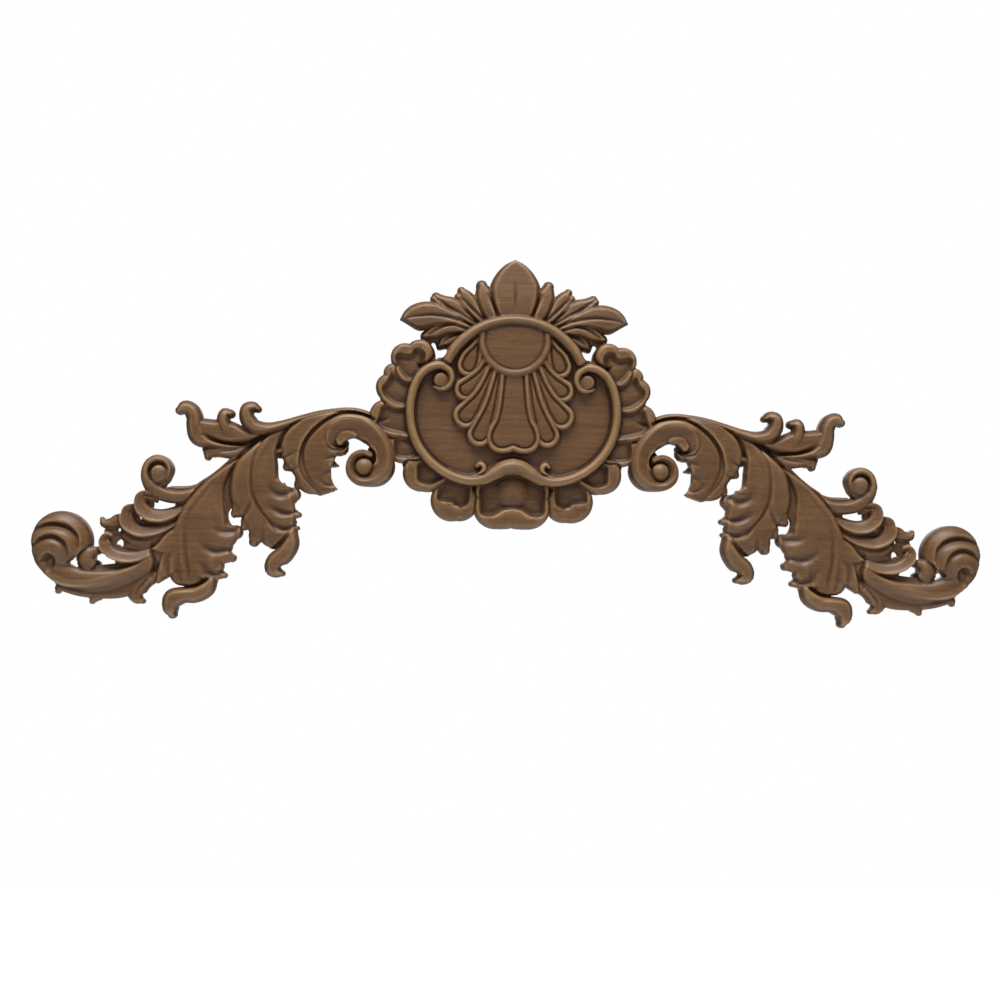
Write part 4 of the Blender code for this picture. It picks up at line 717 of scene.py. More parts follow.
@dataclass
class ScrollWing:
    """The right wing's stems, ball, feathers, small scroll and top leaf, on plain webs."""

    ball_crown: float = 18.0

    def carve(self, relief: Relief) -> None:
        """Carves its parts, the lowest first.

        Args:
            relief: The carving so far.
        """
        self.webs(relief)
        self.stem_and_ball(relief)
        self.feathers(relief)
        self.small_scroll(relief)
        self.top_leaf(relief)

    def webs(self, relief: Relief) -> None:
        """Plain ground that joins the carved parts of the wing where they only touch.

        Args:
            relief: The carving so far.
        """
        webs = [
            [(88.5, -40, 3), (88, -46, 5)], [(93, -51, 8)], [(78, -33, 3)],
            [(88, -19.5, 2.6), (104, -18.5, 2)], [(90, -22, 2.5)], [(165, -36.5, 2), (174, -37.5, 2)],
            [(192.6, -41, 2.7)], [(244.5, -112.9, 1)], [(176.5, -73, 2.2)],
            [(143, -30, 2.5), (147, -39, 2.5), (146.5, -43.3, 2.7)],
            [(152, -31, 2), (160, -35.5, 3.2), (168, -41, 4), (176, -49, 3)],
            [(177, -54, 2), (178.5, -66, 3.5), (178.2, -74, 2.7), (178.8, -78, 2.4), (179.6, -83, 2),
             (178.6, -87.4, 2.3)],
            [(222.5, -56, 8)], [(220.4, -63.2, 3.4)], [(228.4, -76.5, 3.5)], [(209, -76.5, 2.4)],
            [(235, -83, 4.5)], [(247, -95.5, 3), (253, -93.6, 1.9)], [(250.5, -100, 3.2)],
            [(259.6, -114.5, 2.8)], [(137.6, -86, 2.3)], [(247.2, -93, 1.4), (253.5, -92.8, 1.3)],
            [(246, -113.3, 1.6)], [(221, -114, 4), (225, -120, 4)],
            [(205, -78, 2), (216, -87, 7), (228, -93, 12), (238, -98, 12.5), (244, -101, 9.5)],
        ]
        for rows in webs:
            relief.web(rows)

    def stem_and_ball(self, relief: Relief) -> None:
        """The lower stem, its fins, and the ball that it ends in.

        Args:
            relief: The carving so far.
        """
        relief.leaf([(222, -121, 3.5, 7.5), (232, -126, 4.5, 8), (245, -130.3, 5, 8), (258, -131.8, 4, 8),
                     (270, -130.6, 3.9, 8), (280, -128.5, 3.3, 7.5), (283.7, -129.5, 1.6, 7)],
                    arch=0.6, drop=1.8)
        relief.leaf([(256, -131, 4, 8), (260.3, -134.6, 3.9, 7.5), (262, -137.6, 1.8, 6.5)], drop=1.5)
        relief.leaf([(281, -127, 4, 7.5), (283.3, -131.5, 1.8, 6.8)], drop=1.5)
        relief.leaf([(224, -121, 4, 8.2), (231, -126.5, 4.8, 8.6), (234.6, -132, 5.7, 8.6),
                     (233.6, -135.3, 3.9, 8), (230.6, -137, 1.8, 7.2)], arch=1.5, drop=2)
        relief.groove([(226, -121, 0.8, 0.8), (230.5, -126, 1, 1.5), (233.8, -131, 0.9, 1.2),
                       (234, -135, 0.6, 0.3)])
        relief.band([(214, -103, 2, 9), (222, -109, 4.2, 10), (231, -115.2, 6.2, 11.2),
                     (242, -120, 7.4, 12), (254, -122.8, 8.4, 13), (266, -123.5, 8.5, 13.5),
                     (277, -120.5, 8.4, 14), (286, -114.5, 8.4, 14.5), (291, -106, 8.6, 15)], power=0.7)
        relief.band([(224, -108, 1.6, 10), (235, -116, 2.6, 11.6), (245, -121, 3, 12.8),
                     (257, -124.5, 3.2, 13.8), (270, -126, 3.2, 14), (280, -124.5, 3.2, 14),
                     (288, -119, 2.6, 13.5)], edge=10, blend=1.0)
        relief.groove([(226, -106.5, 1.2, 0.8), (235, -113, 1.5, 2), (245, -116.2, 1.6, 2.2),
                       (258, -117.6, 1.4, 1.8), (268, -117.5, 1.2, 1)])
        relief.groove([(240, -124.5, 1, 0.6), (255, -128.8, 1.2, 1.4), (270, -130, 1.1, 1.3),
                       (282, -127.5, 0.9, 0.6)])
        relief.band([(281, -100.4, 19.0, self.ball_crown)], edge=WEB, power=0.55)
        relief.band([(283, -103, 17, 16.5), (284, -107, 14.8, 15)], edge=WEB, power=0.55)
        relief.band([(264.8, -117.6, 3.4, 12), (264.7, -114, 5.3, 13.4), (265, -110.9, 5.8, 14),
                     (262.8, -107.4, 4.2, 13.2), (260.4, -106, 2.6, 11.8)], edge=9.5, fade=2)
        relief.leaf([(255.5, -105.2, 1.9, 6.5), (260, -106, 2.7, 6.5)], arch=0.5, drop=1)
        relief.groove([(270, -104, 1, 1.4), (271, -97, 1.1, 3), (276, -91.9, 1.2, 4),
                       (283, -89.8, 1.2, 4.2), (290, -90.2, 1.1, 3.6), (297.5, -93, 0.9, 2)], wider=2.8)
        relief.groove([(276, -108, 1, 1.4), (278.3, -101.5, 1.1, 3), (283, -97.9, 1.1, 3.8),
                       (288, -97.2, 1.1, 3.8), (293, -98.8, 1, 3.2), (298, -102.5, 0.8, 1.6)], wider=2.6)
        relief.groove([(284.6, -115.4, 0.9, 1.6), (285, -110.8, 1.1, 3.2), (288.3, -109, 1.2, 3.6),
                       (291.4, -110.6, 1.2, 2.2)], wider=2.2)
        relief.groove([(285.5, -119, 2.2, 0.6), (287.6, -115.6, 2.6, 2.0), (289, -112.4, 2.2, 2.0)])

    def feathers(self, relief: Relief) -> None:
        """The five feathers between the outer leaf and the ball, from the lowest up.

        Args:
            relief: The carving so far.
        """
        feathers = [
            [(220, -103, 2, 8.5), (229, -107.6, 3, 9.6), (238, -109.5, 3.4, 10.5), (246, -108.6, 3.6, 11),
             (252, -105, 3.8, 11.2), (254, -100, 3.6, 11), (252.7, -97, 2.7, 9.4), (250.3, -97, 1.7, 8)],
            [(216, -94, 2, 8.2), (226, -99.3, 2.8, 9.2), (236, -99.7, 3, 9.6), (242, -96, 2.2, 8.8)],
            [(222, -101, 1.8, 8), (232, -103.2, 2.2, 8.6), (240, -102.5, 1.8, 8)],
            [(210, -86, 2.5, 8), (219, -91.5, 3.2, 9.3), (229, -93.4, 3.4, 10.2), (236.3, -91, 3.6, 10.8),
             (240.2, -86, 3.7, 11), (240, -80.5, 3.5, 9.6), (237, -79, 2.9, 8.6)],
            [(204, -76, 2.5, 8.5), (212, -81.3, 3.7, 9.5), (220, -83.1, 3.9, 10.3), (227.3, -81.8, 3.9, 11),
             (231.8, -77.5, 3.9, 11.3), (232, -72.5, 3.8, 11.3), (229.2, -70.7, 2.9, 10.8),
             (225.5, -72.6, 2.2, 8.8), (223.4, -74.2, 1.1, 7.5)],
        ]
        for rows in feathers:
            relief.band(rows)
        lips = [
            [(220, -104.6, 3.6, 0.8, 9), (226.4, -107.9, 4.6, 1.2, 10), (232.9, -110.5, 5.2, 1.5, 10.8),
             (241, -111.4, 5.4, 1.7, 11.4), (249, -109.8, 5.6, 1.8, 11.8), (254.4, -106, 5.6, 1.8, 12),
             (257, -101.2, 5, 1.6, 12), (256, -97.4, 3.6, 1.5, 11.4), (253.4, -95.8, 2.4, 1.4, 10.8),
             (251, -96.4, 1.6, 1.2, 10)],
            [(210, -87.6, 3.4, 0.8, 8.8), (217, -92, 4.8, 1.2, 9.8), (224.7, -94.6, 5.6, 1.4, 10.6),
             (232.7, -95.3, 6, 1.5, 11), (239.6, -92.6, 6.2, 1.5, 11.6), (243.4, -88.6, 6.2, 1.4, 11.9),
             (244, -84, 5.8, 1.3, 12), (242.6, -79.8, 4.6, 1.3, 11.6), (239.5, -77.6, 3, 1.3, 11)],
            [(205, -77.8, 3.4, 0.8, 9.2), (212, -83.2, 5.2, 1.2, 10.4), (220, -86, 6.2, 1.2, 11.2),
             (227.6, -85.2, 6.4, 1.3, 11.8), (233, -81.4, 6.6, 1.3, 12.2), (235, -76.8, 6.2, 1.3, 12.4),
             (234, -71.6, 5, 1.3, 12.2), (230.8, -68.9, 3.2, 1.2, 11.4), (227, -69.8, 2, 1.2, 10.6)],
        ]
        for rows in lips:
            relief.leaf(rows, arch=0.4, tilt=-2.0, drop=1.6, bevel=1.2, over=True, within=True)
        relief.leaf([(238, -89, 3.5, 9.5), (246, -87, 4.4, 10), (251, -88.7, 3.3, 9.5),
                     (255.3, -88.4, 2.9, 9), (256.8, -86, 1.5, 8)], arch=1.5, drop=2)

    def small_scroll(self, relief: Relief) -> None:
        """The small scroll under the top leaf, with its stem and button.

        Args:
            relief: The carving so far.
        """
        relief.leaf([(173, -46, 3, 8.5), (180, -54.4, 4.1, 9), (187, -60.5, 4.3, 9.5), (194, -65, 4.1, 10)],
                    arch=0.6, drop=1.8)
        relief.band([(188, -62, 3, 9.5), (200, -68, 4.2, 10.8), (208, -69.9, 5.4, 11.5),
                     (216, -69.7, 5.3, 12), (223, -67.3, 5.1, 12.5), (228, -62.5, 4.2, 13),
                     (230, -56.5, 3, 13.3), (228, -50.5, 2.7, 13.5), (223, -47.7, 2.6, 13.5),
                     (217.5, -49.3, 2.5, 13.3), (214.9, -54, 2.5, 13), (216.2, -59, 2, 12),
                     (218.5, -62, 1.2, 10.5)], edge=WEB)
        relief.groove([(198, -65.4, 0.8, 0.5), (206, -67.4, 1, 1.8), (214, -67.2, 1, 1.8),
                       (221, -64.5, 0.9, 0.8)])
        relief.patch([(221.8, -57, 8.2)], flat(10.6), over=False)
        relief.band([(221.8, -57, 5.8, 14.2)], edge=10.6, power=0.5)
        relief.groove([(219, -50.9, 0.7, 0.6), (224, -51.3, 1, 1.6), (227, -55.5, 1.1, 1.9),
                       (226.2, -60.8, 0.9, 1.2)])

    def top_leaf(self, relief: Relief) -> None:
        """The leaf along the top of the wing, with its two outer curls and the lobe under it.

        Args:
            relief: The carving so far.
        """
        relief.leaf([(168, -42.5, 4, 8.5), (178, -42.8, 3.8, 9.4), (187, -42.5, 3.3, 9.6),
                     (191, -43.6, 3.8, 9.3), (191.8, -45.9, 2.2, 8.5)], arch=1.2, drop=1.8)
        relief.leaf([(158, -31.5, 2.5, 9.5), (168, -32, 4.6, 11), (179, -30.2, 7.4, 11.2),
                     (189, -28.8, 6.7, 11.2), (197, -27.5, 6.2, 11.2)],
                    arch=0.6, drop=4.2, bevel=3.6, fall=1.25)
        curls = [
            [(166, -38.8, 1.6, 9.5), (175, -39.3, 2, 11), (184, -38.5, 2.6, 11.8), (191, -36.6, 3.9, 12.3),
             (197.3, -33, 6.2, 12.6), (199.9, -26.5, 5.6, 12.6), (200.4, -21, 5.2, 12.8),
             (202.7, -16.8, 5.1, 12.8), (206.7, -15.3, 4.6, 12.5), (210, -16.9, 2.7, 11.5)],
            [(177, -33, 3.5, 11), (180.5, -28.5, 5, 12.3), (182.2, -23.5, 4.5, 12.7),
             (181, -18.9, 4.2, 12.7), (177.9, -18.4, 2.7, 11.5)],
        ]
        for rows in curls:
            relief.leaf(rows, arch=0.6, drop=5.0, bevel=3.6, fall=1.25)
        relief.groove([(162, -35, 1.3, 1.5), (168, -37, 1.1, 2), (178, -37.3, 1, 2.2),
                       (188, -35.8, 0.9, 1.8), (195, -32.3, 0.8, 0.8)])
        relief.groove([(173, -40.8, 0.7, 0.8), (179, -42, 0.9, 1.4), (185, -42.6, 0.8, 0.8)])


@dataclass
class WingLeaves:
    """The three long acanthus leaves of the wing, and the inner scroll with its stem."""

    def carve(self, relief: Relief) -> None:
        """Carves its parts, the lowest first.

        Args:
            relief: The carving so far.
        """
        self.outer_leaf(relief)
        self.middle_leaf(relief)
        self.inner_leaf(relief)
        self.inner_scroll(relief)

    def outer_leaf(self, relief: Relief) -> None:
        """The long leaf that hangs outermost: its tail curl, blade, side lobes and hollows.

        Args:
            relief: The carving so far.
        """
        relief.leaf([(188, -123, 4, 9.5), (191, -128.5, 5.3, 11), (197.5, -132.3, 5.3, 11.5),
                     (205, -132.8, 5.2, 12), (211.3, -135.3, 6.4, 12), (213, -139.5, 5.3, 11.7),
                     (212.4, -142.8, 4.4, 11.2), (211.7, -144.9, 2.9, 10.5)],
                    arch=0.8, drop=4.5, bevel=3.6, fall=1.5)
        relief.leaf([(171, -46, 1.5, 2, 8.5), (179, -52.5, 2.4, 4, 9.5), (187, -60, 3.6, 9, 10.3),
                     (193, -67.5, 5, 16, 11), (197.5, -75, 6.5, 20.2, 11.8), (200.5, -84, 8.5, 22.6, 12.2),
                     (202, -94, 11, 26, 12), (202.3, -104, 15, 26.8, 11.6), (202, -111, 15, 21.8, 11),
                     (201.5, -117.5, 10.2, 10.6, 10.2)], arch=2.2, drop=2.6, bevel=3, tilt=0.6, over=True)
        relief.groove([(224.6, -100.5, 1, 0.8), (225.2, -105.4, 1.2, 1.8), (223, -111.6, 1.4, 2.6),
                       (223.8, -117, 1.3, 2.2), (225.4, -122, 0.9, 1)])
        points = [
            [(206, -104, 10, 10.8), (212, -111, 8.2, 11.2), (216.4, -117.4, 5, 11.2),
             (219.6, -122, 2.8, 10.6), (221.2, -125, 0.9, 9.6)],
            [(204, -97, 9, 11), (213, -100.5, 7.4, 11.4), (219.5, -103.2, 3.8, 11.6),
             (224.4, -104.3, 0.8, 10.8)],
        ]
        for rows in points:
            relief.leaf(rows, arch=1.0, drop=2.4, bevel=2)
        lobes = [
            [(192, -93, 9, 10.9), (181, -94.8, 9.6, 10.2), (173.4, -92.9, 4.5, 8.5)],
            [(190, -105, 8, 10.7), (180, -107.8, 5.4, 9.7), (175.4, -109.2, 2.7, 8.2)],
            [(188, -113, 7, 10.5), (184.6, -114.3, 4.4, 9.6)],
            [(204.5, -110, 9, 11), (205.6, -118.5, 8.6, 10.2)],
            [(178, -107, 2.2, 8.5), (174, -108.4, 1.3, 7.8)],
            [(194, -115, 8, 10.4), (185.5, -118.6, 5, 9.3), (180, -120.1, 2, 8)],
        ]
        for rows in lobes:
            relief.leaf(rows, arch=1.0, drop=2.0)
        hollows = [
            [(172, -90.5, 1.3, 1.2), (175.2, -92.3, 2.2, 2.4), (181.6, -92.2, 2.8, 2.2),
             (189, -89.3, 2.6, 0.4)],
            [(174.5, -103, 1.2, 1.2), (179.9, -104.2, 2.0, 2.2), (186.4, -104.8, 2.8, 3),
             (192.8, -101.1, 2.8, 2), (197, -95.5, 2.4, 0.3)],
            [(178.5, -117, 1.2, 1.2), (184.7, -119.3, 2.0, 2.4), (189.3, -118.4, 2.7, 3),
             (193.2, -113.8, 2.6, 1.9), (197.5, -108, 2.2, 0.3)],
            [(187.7, -61.2, 0.9, 0.4), (195.2, -72, 1.3, 0.9), (201.7, -81, 1.6, 1.1),
             (204.6, -90, 1.7, 1.2), (204.7, -99.1, 1.5, 1.3), (203.9, -108.2, 1.4, 1.4),
             (202.1, -117.3, 1.3, 1.4), (201.8, -124, 1, 1)],
            [(211.2, -104.4, 1.6, 0.4), (215.2, -110, 1.9, 1.6), (215.4, -116.5, 1.7, 1.6),
             (213.6, -121.5, 1.2, 1)],
            [(208.4, -105, 1.4, 0.3), (209.2, -112, 1.6, 1.0), (208.4, -119, 1.4, 1.1),
             (206.8, -124, 1, 0.8)],
            [(191, -123, 1.2, 2), (196, -126.3, 1, 2), (203, -127.8, 0.9, 1.6), (209.5, -127.5, 0.9, 1.2)],
        ]
        for rows in hollows:
            relief.groove(rows)

    def middle_leaf(self, relief: Relief) -> None:
        """The middle leaf: its tail curl, blade, side lobes and hollows.

        Args:
            relief: The carving so far.
        """
        relief.leaf([(139, -93, 4.5, 10.5), (139, -99.5, 5.5, 12), (142.5, -106, 5.8, 12.3),
                     (148, -111, 5.9, 12.3), (149.3, -115.2, 5.5, 12), (147.3, -117.3, 4.2, 11.5),
                     (143.8, -118.4, 2.0, 10.5)], arch=0.8, drop=4.5, bevel=3.6, fall=1.5)
        relief.leaf([(143, -28, 1.5, 2.5, 11), (148, -33, 5.2, 4, 11.8), (152, -38, 6.8, 5, 12.2),
                     (157, -45, 9.6, 10.8, 12.6), (161, -53, 12.8, 14.8, 12.9), (162.3, -61, 14, 16.2, 13),
                     (162, -70, 14.3, 20, 12.7), (159.5, -78, 12, 22, 12.2), (154, -86, 12.5, 18.5, 11.3),
                     (149.5, -92, 9.5, 6, 10.8), (147, -97, 5.6, 1.6, 10)],
                    arch=2.2, drop=2.6, bevel=3, tilt=0.8, vein=0.9, vein_width=2.6, over=True)
        relief.leaf([(150, -70, 12, 11.5), (148.5, -78, 12, 11.2), (147, -86, 11.2, 10.8),
                     (145, -91, 9.2, 10.2)], arch=0.8, drop=2)
        lobes = [
            [(157, -68, 7, 11.5), (147, -69.3, 6, 11), (139, -69.2, 5.7, 10), (137.6, -68.6, 4.5, 9)],
            [(151, -78, 7.5, 11.2), (141, -80.3, 5.6, 10), (134.2, -81.3, 1.9, 8.5)],
            [(149, -86.5, 6, 10.6), (141, -89.3, 3.8, 9.5), (134.8, -89.7, 1.5, 8)],
            [(169, -75, 6, 11.8), (172.6, -79.8, 4.4, 10.5), (175.4, -82.2, 1.9, 9)],
            [(161, -82, 7, 11.3), (166.3, -86.3, 4.4, 10.2), (168, -89.3, 2.5, 9)],
            [(156, -90, 7.5, 10.8), (160.3, -95.5, 5.4, 9.8), (161.8, -98.8, 3.2, 9)],
            [(151, -91, 7, 10.8), (153, -95.8, 5.3, 9.8), (149.8, -100, 3.3, 9)],
        ]
        for rows in lobes:
            relief.leaf(rows, arch=1.0, drop=2.0)
        hollows = [
            [(136.4, -66, 1.2, 0.8), (139.8, -67, 2.0, 2.2), (145.6, -68.6, 2.6, 3.2), (150.7, -66, 2.4, 2),
             (153.6, -60.5, 1.8, 0.3)],
            [(135.8, -79.6, 1.2, 1.2), (141.9, -80.3, 2.2, 3), (148.2, -78.3, 2.6, 2.6),
             (154.3, -74.2, 2.2, 0.4)],
            [(136.4, -88.3, 1.1, 1.2), (142.6, -90.2, 1.8, 2.6), (148.4, -88.2, 2.0, 2),
             (153, -84, 1.8, 0.4)],
            [(152.7, -27, 0.8, 0.6), (158, -36.6, 0.9, 1.1), (162.6, -46.4, 0.9, 1.3),
             (164, -57.5, 0.9, 1.4), (162.9, -68.9, 0.9, 1.4), (158.5, -77.9, 0.9, 1.4),
             (152.2, -85.6, 0.9, 1.2), (147.2, -92.1, 0.8, 0.8)],
            [(141, -95, 1.3, 1.6), (145, -99, 1.3, 2.4), (150, -103.2, 1, 2)],
            [(163.6, -71, 1.1, 0.3), (165.4, -77.6, 1.4, 1.6), (169.6, -84, 1.2, 1.8)],
            [(155.5, -87, 1.2, 0.3), (156.4, -94, 1.4, 1.4), (155.8, -99.5, 1.1, 1.2)],
        ]
        for rows in hollows:
            relief.groove(rows)

    def inner_leaf(self, relief: Relief) -> None:
        """The inner leaf with its hook, which grows out of the inner scroll.

        Args:
            relief: The carving so far.
        """
        relief.leaf([(100, -18.6, 1.6, 2, 12.8), (106, -18.9, 3.2, 5, 12.9), (112, -20.5, 5.6, 8, 13),
                     (120, -26, 10.5, 13, 13.2), (126, -31.5, 14, 15, 13.2), (130, -38, 15.6, 17.5, 13),
                     (131.3, -46, 13.6, 19, 12.5), (130, -54, 8, 15.3, 11.6), (126.5, -61, 8, 12.5, 10.5),
                     (121, -66, 3, 3.4, 9.3)], arch=1.8, drop=2.4, bevel=3, tilt=0.6, vein=1.8, over=True)
        lobes = [
            [(138, -43, 5, 11.3), (144.5, -41.2, 2.6, 10.6), (149, -42.3, 1, 9.5)],
            [(136, -48, 6, 11), (141, -50.5, 4.2, 9.8), (144, -52.5, 1.5, 8.5)],
            [(130, -57, 6, 10.8), (134, -60.5, 3.5, 9.5), (135, -62.5, 2.5, 8.5)],
            [(118, -46, 5, 11.3), (113, -49, 2.2, 9.8), (110, -49.9, 0.7, 8.5)],
            [(119, -60, 6, 10.8), (114.5, -63.3, 3, 9.3), (110.8, -64.7, 0.6, 8)],
            [(122, -52, 7.5, 11.3), (121.3, -57, 7, 10.6)], [(112, -31.5, 5, 11.5), (109.6, -34.3, 5, 11)],
            [(113, -64.8, 1.6, 8.5), (120, -64.4, 4.2, 9.5), (127, -63.2, 4.2, 9.3),
             (133, -62.5, 2.8, 8.5)],
        ]
        for rows in lobes:
            relief.leaf(rows, arch=0.8, drop=1.8)
        relief.band([(120, -33, 9, 12.8), (113, -37, 6.6, 12.5), (107.7, -38.5, 4.7, 12.2),
                     (105.3, -35.6, 2, 11)], edge=7.5)
        folds = [
            [(136.2, -41.6, 1.1, 0.4), (140.4, -43.8, 1.3, 1.4), (144.4, -45.6, 1.2, 1.4),
             (147, -45.4, 0.8, 0.6)],
            [(133.8, -50.4, 1.0, 0.4), (137.6, -52.6, 1.2, 1.1), (141.4, -54, 0.9, 0.9)],
        ]
        for rows in folds:
            relief.groove(rows)

    def inner_scroll(self, relief: Relief) -> None:
        """The scroll that grows out of the inner leaf, its button, and the stem over it with its curl.

        Args:
            relief: The carving so far.
        """
        relief.leaf([(122.3, -61, 3.5, 10.2), (123, -54, 7.2, 11.6), (122, -46, 8.8, 12.7),
                     (119, -38.3, 9.2, 13.5), (114.4, -31.6, 8.2, 14), (108.3, -27.3, 7.2, 14.4),
                     (102, -25.8, 6.5, 14.8)], arch=1.6, drop=4.2, bevel=3.8, fall=1.25, plain=Side.LEFT)
        relief.leaf([(112, -28.6, 5, 13), (108.3, -27.3, 6.6, 14.3), (102, -25.8, 6.5, 14.8),
                     (97, -26.3, 6.6, 14.8), (90, -30, 6.7, 14.8), (85, -36.5, 6.6, 14.8),
                     (82, -44, 6.3, 14.8), (80.6, -51, 6.5, 14.8), (84, -57, 5.3, 14.6),
                     (91, -59.9, 3, 14.4), (97.5, -58.9, 2.9, 14.2), (101.6, -55, 2.8, 14.2),
                     (102.3, -49.5, 2.6, 14), (99.6, -44.4, 2.6, 13.8), (94.5, -42.2, 2.5, 13.3),
                     (90, -43.5, 2, 12.5)], arch=1.6, drop=4.2, bevel=3.8, fall=1.25)
        relief.leaf([(95, -19.6, 1.8, 2.2, 13.4), (103, -18.9, 2.2, 2.4, 13.4), (111, -20.6, 3, 3, 13.4),
                     (118, -25.4, 4.4, 4.4, 13.2), (123, -32.5, 6.4, 6.2, 13), (125.4, -41, 8.5, 6.6, 12.7),
                     (124.6, -50, 10, 7, 12.1), (120.6, -57.5, 9, 7.4, 11.2), (116.5, -63, 7, 6, 10.4)],
                    arch=0.9, drop=1.6, bevel=2.4, tilt=-0.7, plain=Side.RIGHT, over=True, within=True)
        lobes = [
            [(110.6, -43.2, 1.2, 1.2), (114.5, -44.8, 1.5, 1.6), (119, -46.6, 1.4, 0.5)],
            [(112.6, -52.6, 1.4, 1.2), (117, -54.4, 2.0, 1.5), (120.4, -57.6, 1.8, 0.6)],
            [(111.6, -62.6, 1, 0.8), (116.6, -62.2, 1.4, 1.3), (121, -59.4, 1.6, 1),
             (123.8, -54.4, 1.6, 0.3)],
        ]
        for rows in lobes:
            relief.groove(rows)
        relief.leaf([(104.9, -36.8, 0.8, 1.2, 10.2), (107.3, -39.1, 2, 1.6, 11.4),
                     (111.4, -39.7, 4, 1.9, 12.6), (115.4, -37.8, 7.4, 2, 13.8),
                     (117.3, -33.6, 9.6, 2, 14.6), (116.4, -28.2, 11, 2.2, 14.9),
                     (113, -23.7, 12, 2.5, 15), (107.3, -21.3, 12.5, 2.7, 15), (101.6, -20.9, 12.5, 2.8, 15),
                     (96, -22.1, 12, 3.2, 15), (91, -25.2, 11, 4, 15), (86.8, -29.8, 10.4, 4.8, 15),
                     (83, -35, 9.6, 5, 15), (80.9, -40, 8.6, 5, 15), (80.4, -45.2, 7.6, 5.2, 14.9),
                     (81.6, -51, 6.4, 5.6, 14.8), (85, -55.9, 4.4, 4.8, 14.6), (90.3, -59.2, 2.8, 3.4, 14.4),
                     (97, -59, 2.8, 3, 14.3), (101.9, -55.4, 3, 2.8, 14.2), (103.2, -49.6, 3.1, 2.7, 14),
                     (100.6, -43.8, 3, 2.6, 13.8), (95, -41.5, 2.8, 2.5, 13.3), (90.2, -43, 2, 2, 12.5)],
                    arch=1.2, drop=3.6, bevel=3.4, fall=1.25, tilt=-3.2, plain=Side.LEFT, over=True,
                    within=True)
        relief.band([(93.8, -50.8, 5.7, 14.4)], edge=9.5, power=0.5)
        relief.groove([(103.8, -34, 1.1, 1.4), (105.9, -36.6, 1.3, 2.2), (109.2, -38, 1.3, 1.9),
                       (113.1, -37.2, 1.2, 1.1), (115.2, -34.4, 1, 0.4)])
        relief.leaf([(86, -20.5, 1.5, 11.5), (92, -17.1, 1.9, 12.6), (98, -15.3, 1.8, 13.2),
                     (105, -14.8, 1.7, 13.4), (113, -15.9, 2, 13.6), (122, -17.7, 2.3, 13.8),
                     (134, -21, 2.3, 13.8), (145, -25, 3, 13.8), (155, -27.5, 4, 13.8),
                     (163, -26.3, 4.9, 13.8), (167.2, -21.2, 5.1, 13.8), (167.3, -15.6, 4.4, 13.5),
                     (163.5, -14.1, 3.6, 12.8), (161, -15, 2.3, 11.5)],
                    arch=0.6, drop=5.0, bevel=3.6, fall=1.25)
        relief.groove([(88, -20.6, 1, 1.8), (93, -18.3, 1, 2.2), (98, -17.2, 1, 2.4),
                       (103.5, -16.7, 1, 2.4), (108.7, -17.2, 1, 2.4), (114.4, -19.7, 1.1, 2.2),
                       (119.3, -23, 1.1, 2), (124.1, -27.2, 1.1, 1.8), (128.2, -31.8, 1.1, 1.7),
                       (131.1, -37.1, 1.1, 1.6), (132.3, -42.3, 1.1, 1.5), (132, -48.5, 1.1, 1.4),
                       (130.1, -54.1, 1.1, 1.3), (127.6, -59, 1, 1), (124.4, -62.8, 0.9, 0.6)])
        relief.groove([(134, -22.3, 0.7, 0.6), (140, -25.7, 0.9, 1.6), (145.5, -32, 1.3, 1.6),
                       (147.8, -39, 1.2, 1.6)])
        relief.groove([(154, -31.8, 0.8, 0.8), (160, -34, 1.5, 2.5), (166, -40, 1.5, 2.2),
                       (172, -46, 1.5, 1.4)])


@dataclass
class Openings:
    """The openings cut through the board between the parts of the carving."""

    def carve(self, relief: Relief) -> None:
        """Pierces what the router cuts right through the piece.

        Args:
            relief: The carving so far.
        """
        slots = [
            [(44.2, 23.2, 1.5), (45.8, 21.6, 2.2), (47.6, 21.4, 2), (49.5, 24.5, 1), (51.2, 28.2, 1.4)],
            [(212.3, -76.2, 0.8), (216, -76.9, 1.4), (220, -77, 2.3), (223.7, -77.3, 1.4)],
            [(232.3, -85.2, 0.75), (233.1, -84.1, 0.75)], [(245.8, -92.6, 1.15), (245.9, -92.5, 1.15)],
            [(244, -102, 1.1), (245, -100.4, 1.9), (246.8, -100.8, 1)],
            [(248.8, -113, 0.8), (252, -112.2, 1.6), (255.4, -110.5, 2.7), (258, -110, 1.3)],
            [(271.7, -110.2, 0.9), (272.7, -112.2, 2.1), (272.3, -114.3, 2.1), (271.2, -115.6, 1)],
            [(273, -113.2, 2), (275.2, -113.4, 1.3)],
            [(146.1, -47.6, 1.3), (146, -52.5, 1.5), (144, -57.5, 3.4), (140.5, -59.3, 3.9),
             (140.2, -61, 2.8)],
            [(176.8, -78.6, 0.6), (177.5, -80.8, 0.9), (177.3, -83, 1.2), (176.2, -85.2, 1.7),
             (174.6, -86.6, 2.1), (172.4, -86, 1.9)],
        ]
        for rows in slots:
            relief.slot(rows)


